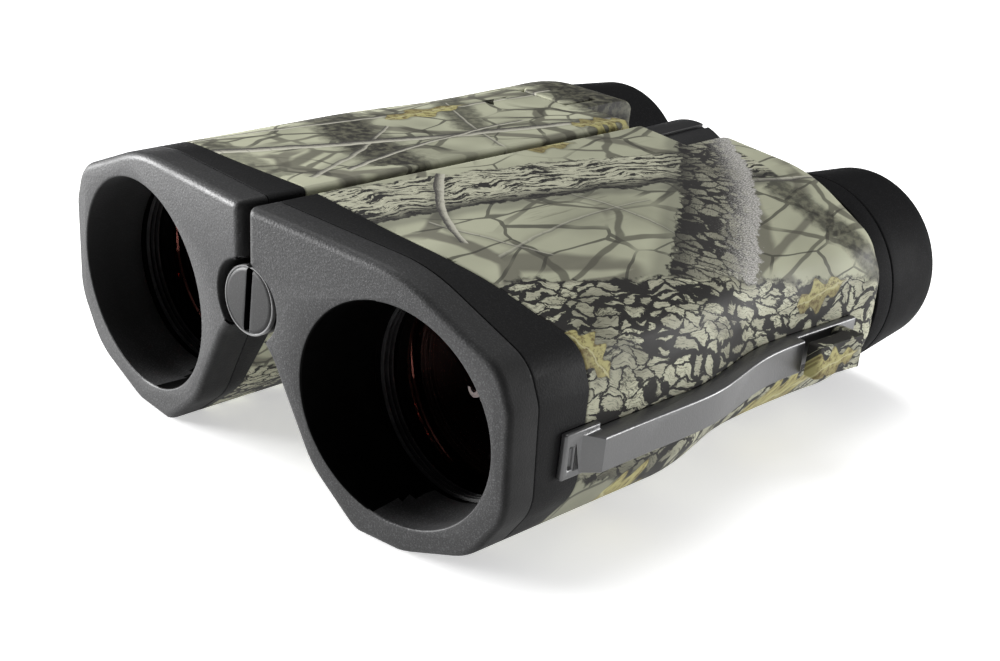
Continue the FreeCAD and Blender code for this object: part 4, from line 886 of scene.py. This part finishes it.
def wrap_film(piece, side):
    """Stores where each corner lies on the wrapped film, in millimetres along and outwards from the seam."""
    mesh = piece.data
    flip = 1.0 if side == "left" else -1.0
    layer = mesh.attributes.new("film", "FLOAT_VECTOR", "CORNER")
    values = []
    for face in mesh.polygons:
        below = face.normal.z < UNDERSIDE
        for corner in face.loop_indices:
            place = mesh.vertices[mesh.loops[corner].vertex_index].co / MM
            out = place.x * flip
            height = place.z - AXIS_HEIGHT
            over = UNDER_SEAM - out if below else out - height + TOP_SEAM
            values.extend((place.y + HINGE_FRONT, over, 0.0))
    layer.data.foreach_set("vector", values)


def turned_ring(name, middle, front, profile):
    """A closed ring turned round an axis along Y, from its profile of radius and depth behind its front."""
    x, z = middle.x, middle.z
    radius, depth = profile[0]
    y = front + depth
    start_clear()
    bpy.ops.mesh.primitive_circle_add(vertices=RING_CORNERS, radius=radius, fill_type="NOTHING",
                                      location=(x, y, z), rotation=(math.pi / 2, 0.0, 0.0))
    piece = bpy.context.object
    piece.name = name
    bpy.ops.object.transform_apply(location=True, rotation=True, scale=True)
    bpy.ops.object.mode_set(mode="EDIT")
    bpy.ops.mesh.select_all(action="SELECT")
    for next_radius, depth in profile[1:]:
        next_y = front + depth
        share = next_radius / radius
        bpy.ops.mesh.extrude_edges_move(TRANSFORM_OT_translate={"value": (0.0, next_y - y, 0.0)})
        bpy.ops.transform.resize(value=(share, 1.0, share), center_override=(x, next_y, z))
        radius, y = next_radius, next_y
    bpy.ops.object.mode_set(mode="OBJECT")
    close_ring(piece, RING_CORNERS * (len(profile) - 1))
    bpy.ops.object.shade_smooth_by_angle(angle=RING_SMOOTH_ANGLE)
    return piece


def close_ring(piece, last):
    """Bridges a turned profile's first loop of corners to its last, which starts at the number given."""
    mesh = piece.data
    for vertex in mesh.vertices:
        vertex.select = vertex.index < RING_CORNERS or vertex.index >= last
    for edge in mesh.edges:
        start, end = edge.vertices
        same_loop = (start < RING_CORNERS) == (end < RING_CORNERS)
        edge.select = mesh.vertices[start].select and mesh.vertices[end].select and same_loop
    for face in mesh.polygons:
        face.select = False
    bpy.ops.object.mode_set(mode="EDIT")
    bpy.ops.mesh.select_mode(type="EDGE")
    bpy.ops.mesh.bridge_edge_loops()
    bpy.ops.mesh.select_all(action="SELECT")
    bpy.ops.mesh.normals_make_consistent(inside=False)
    bpy.ops.mesh.select_mode(type="VERT")
    bpy.ops.object.mode_set(mode="OBJECT")


def dress(node, finish):
    """Gives a CAD node that stays in place its finish."""
    holder = frame["nodes"][node]
    holder.data.materials.clear()
    holder.data.materials.append(finishes[finish])


# ---------------------------------------------------------------- operators

class BuildFinishes(bpy.types.Operator):
    """Makes the node groups and every finish"""
    bl_idname = "rangefinder.finishes"
    bl_label = "Finishes"

    def execute(self, context):
        finishes.update(make_finishes())
        return {"FINISHED"}


class BuildHoods(bpy.types.Operator):
    """Front hood caps and the collars behind them"""
    bl_idname = "rangefinder.hoods"
    bl_label = "Hoods"

    def execute(self, context):
        edge = context.scene.rangefinder_sizes.shell_edge
        for side in SIDES:
            axis = frame_middle(f"{side}_barrel").x
            cap = skin_for(f"{side}_front_cap", f"{side}_hood_cap", "hood", edge, sharp=45)
            mark_sides(cap)
            paint_bore_shade(cap, axis)
            collar = skin_for(f"{side}_collar", f"{side}_hood_collar", "collar",
                              edge * COLLAR_EDGE, sharp=45)
            paint_bore_shade(collar, axis)
        return {"FINISHED"}


class BuildHousings(bpy.types.Operator):
    """Camouflaged housings and strap lugs"""
    bl_idname = "rangefinder.housings"
    bl_label = "Housings"

    def execute(self, context):
        edge = context.scene.rangefinder_sizes.shell_edge
        for side in SIDES:
            for part, rounding in (("housing", edge), ("strap_lug", edge * LUG_EDGE)):
                skin = skin_for(f"{side}_{part}", f"{side}_camo_{part}", f"film_{side}",
                                rounding, sharp=50)
                wrap_film(skin, side)
        return {"FINISHED"}


class BuildBars(bpy.types.Operator):
    """Strap bars along both sides"""
    bl_idname = "rangefinder.bars"
    bl_label = "Strap Bars"

    def execute(self, context):
        edge = context.scene.rangefinder_sizes.shell_edge
        for side in SIDES:
            skin_for(f"{side}_strap_bar", f"{side}_carry_bar", "bar", edge, sharp=50)
        return {"FINISHED"}


class BuildEyepieces(bpy.types.Operator):
    """Eyecups, their rings and the dioptre ring"""
    bl_idname = "rangefinder.eyepieces"
    bl_label = "Eyepieces"

    def execute(self, context):
        edge = context.scene.rangefinder_sizes.rubber_edge
        for side in SIDES:
            skin_for(f"{side}_eyecup", f"{side}_rubber_cup", "rubber", edge)
        for node, name in (("left_eyecup_base", "left_base_ring"), ("diopter_ring", "right_diopter_ring")):
            skin_for(node, name, "rubber", edge * EYE_RING_EDGE)
        return {"FINISHED"}


class BuildWheel(bpy.types.Operator):
    """Focus wheel grip and hub"""
    bl_idname = "rangefinder.wheel"
    bl_label = "Focus Wheel"

    def execute(self, context):
        edge = context.scene.rangefinder_sizes.rubber_edge
        skin_for("focus_wheel_grip", "wheel_grip_sleeve", "wheel", edge * GRIP_EDGE)
        skin_for("focus_wheel_hub", "wheel_hub_disc", "black", edge * HUB_EDGE)
        return {"FINISHED"}


class BuildBattery(bpy.types.Operator):
    """Battery cap and its tube"""
    bl_idname = "rangefinder.battery"
    bl_label = "Battery Cap"

    def execute(self, context):
        edge = context.scene.rangefinder_sizes.metal_edge
        cap = skin_for("battery_cap", "battery_coin_cap", "cap", edge, sharp=45)
        paint_slot_shade(cap)
        rim = turned_ring("battery_cap_rim", frame_middle("battery_cap"), frame_front("battery_cap"), CAP_RIM)
        finish_piece(rim, BODY_OF["battery_cap"], "rim")
        skin_for("battery_tube", "battery_sleeve", "black", edge * SLEEVE_EDGE, sharp=45)
        return {"FINISHED"}


class BuildOptics(bpy.types.Operator):
    """Lenses, retainers and tubes"""
    bl_idname = "rangefinder.optics"
    bl_label = "Optics"

    def execute(self, context):
        for side in SIDES:
            for part, finish in (("objective_lens", "objective"), ("focus_lens", "objective"),
                                 ("field_lens", "eye"), ("eye_lens", "eye"), ("prism", "eye"),
                                 ("eyecup_glide", "alloy")):
                dress(f"{side}_{part}", finish)
            for part in ("barrel", "lens_retainer", "focus_cell", "prism_cage", "eyepiece_tube"):
                skin_for(f"{side}_{part}", f"{side}_{part}_skin", "stop")
            retainer = f"{side}_lens_retainer"
            for number in (1, 2, 3):
                ring = turned_ring(f"{side}_baffle_ring_{number}", frame_middle(retainer),
                                   frame_front(retainer) - BAFFLE_PITCH * number, BAFFLE_RING)
                finish_piece(ring, BODY_OF[retainer], "ring")
        return {"FINISHED"}


class BuildWorks(bpy.types.Operator):
    """Finishes of the inner works and the buttons"""
    bl_idname = "rangefinder.works"
    bl_label = "Inner Works"

    def execute(self, context):
        for node, finish in (("battery_cell", "nickel"), ("contact_spring", "nickel"), ("cap_seal", "rubber"),
                             ("focus_bush", "brass"), ("focus_spindle", "steel"), ("focus_yoke", "alloy"),
                             ("laser_board", "board"), ("switch_board", "board"), ("range_switch", "black"),
                             ("mode_switch", "black"), ("laser_diode", "brass"), ("laser_receiver", "steel"),
                             ("range_display", "grey"), ("left_bar_screws", "steel"),
                             ("right_bar_screws", "steel")):
            dress(node, finish)
        edge = context.scene.rangefinder_sizes.rubber_edge
        for key in ("range", "mode"):
            skin = skin_for(f"{key}_button", f"{key}_key", "film_right", edge * KEY_EDGE)
            wrap_film(skin, "right")
        return {"FINISHED"}


class BuildStudio(bpy.types.Operator):
    """Pale floor, soft lights and the camera"""
    bl_idname = "rangefinder.studio"
    bl_label = "Studio"

    def execute(self, context):
        make_floor()
        make_backdrop()
        for softbox in SOFTBOXES:
            make_softbox(*softbox)
        make_camera()
        return {"FINISHED"}


def make_floor():
    start_clear()
    bpy.ops.mesh.primitive_plane_add(size=FLOOR_SIZE, location=(0.0, 0.0, -FLOOR_DROP))
    floor = bpy.context.object
    floor.name = "studio_floor"
    material, g, shader, place = start_material("Studio Paper", {
        "Emission Color": (1.0, 1.0, 1.0), "Emission Strength": 0.5, "Roughness": 0.9,
        "Specular IOR Level": 0.1})
    g.put(shader["Base Color"], g.mix(g.noise(place, 900.0), (0.93, 0.93, 0.93), (0.96, 0.96, 0.96)))
    floor.data.materials.append(material)


def make_backdrop():
    """A grey sky that brightens upwards."""
    world = bpy.data.worlds.new("Studio World")
    world.use_nodes = True
    g = Graph(world.node_tree)
    backdrop = world.node_tree.nodes["Background"].inputs
    height = g.split(g.new("ShaderNodeTexCoord").outputs["Generated"])["Z"]
    g.put(backdrop["Color"], g.mix(g.step(height, 0.32, 0.95), (0.05, 0.05, 0.053), (0.6, 0.6, 0.6)))
    g.put(backdrop["Strength"], 1.0)
    bpy.context.scene.world = world
    bpy.context.scene.view_settings.view_transform = "Standard"


def make_softbox(name, place, aim, width, height, power):
    lamp = bpy.data.lights.new(name, "AREA")
    lamp.shape = "RECTANGLE"
    lamp.size = width
    lamp.size_y = height
    lamp.energy = power
    holder = bpy.data.objects.new(name, lamp)
    bpy.context.scene.collection.objects.link(holder)
    holder.location = place
    holder.rotation_mode = "QUATERNION"
    holder.rotation_quaternion = (Vector(aim) - Vector(place)).to_track_quat("-Z", "Y")


def make_camera():
    lens = bpy.data.cameras.new("Studio Camera")
    lens.lens = FOCAL_LENGTH
    lens.sensor_width = SENSOR_WIDTH
    lens.sensor_fit = "HORIZONTAL"
    lens.clip_start = 0.01
    lens.clip_end = 20.0
    holder = bpy.data.objects.new("Studio Camera", lens)
    bpy.context.scene.collection.objects.link(holder)
    turn = Matrix(CAMERA_AXES).transposed().to_4x4()
    holder.matrix_world = Matrix.Translation(CAMERA_PLACE) @ turn
    bpy.context.scene.camera = holder


STEPS = (BuildFinishes, BuildHoods, BuildHousings, BuildBars, BuildEyepieces, BuildWheel, BuildBattery,
         BuildOptics, BuildWorks, BuildStudio)


class RangefinderPanel(bpy.types.Panel):
    bl_idname = "VIEW3D_PT_rangefinder"
    bl_label = "Rangefinder"
    bl_space_type = "VIEW_3D"
    bl_region_type = "UI"
    bl_category = "Rangefinder"

    def draw(self, context):
        column = self.layout.column()
        for group in (context.scene.rangefinder_sizes, context.scene.rangefinder_colours):
            for key in group.bl_rna.properties.keys():
                if key not in ("rna_type", "name"):
                    column.prop(group, key)
        for step in STEPS:
            column.operator(step.bl_idname)


CLASSES = (RangefinderSizes, RangefinderColours, *STEPS, RangefinderPanel)


def register():
    for kind in CLASSES:
        bpy.utils.register_class(kind)
    bpy.types.Scene.rangefinder_sizes = PointerProperty(type=RangefinderSizes)
    bpy.types.Scene.rangefinder_colours = PointerProperty(type=RangefinderColours)


def unregister():
    del bpy.types.Scene.rangefinder_colours
    del bpy.types.Scene.rangefinder_sizes
    for kind in reversed(CLASSES):
        bpy.utils.unregister_class(kind)


def main():
    register()
    for step in STEPS:
        family, call = step.bl_idname.split(".")
        getattr(getattr(bpy.ops, family), call)()


if __name__ == "__main__":
    main()
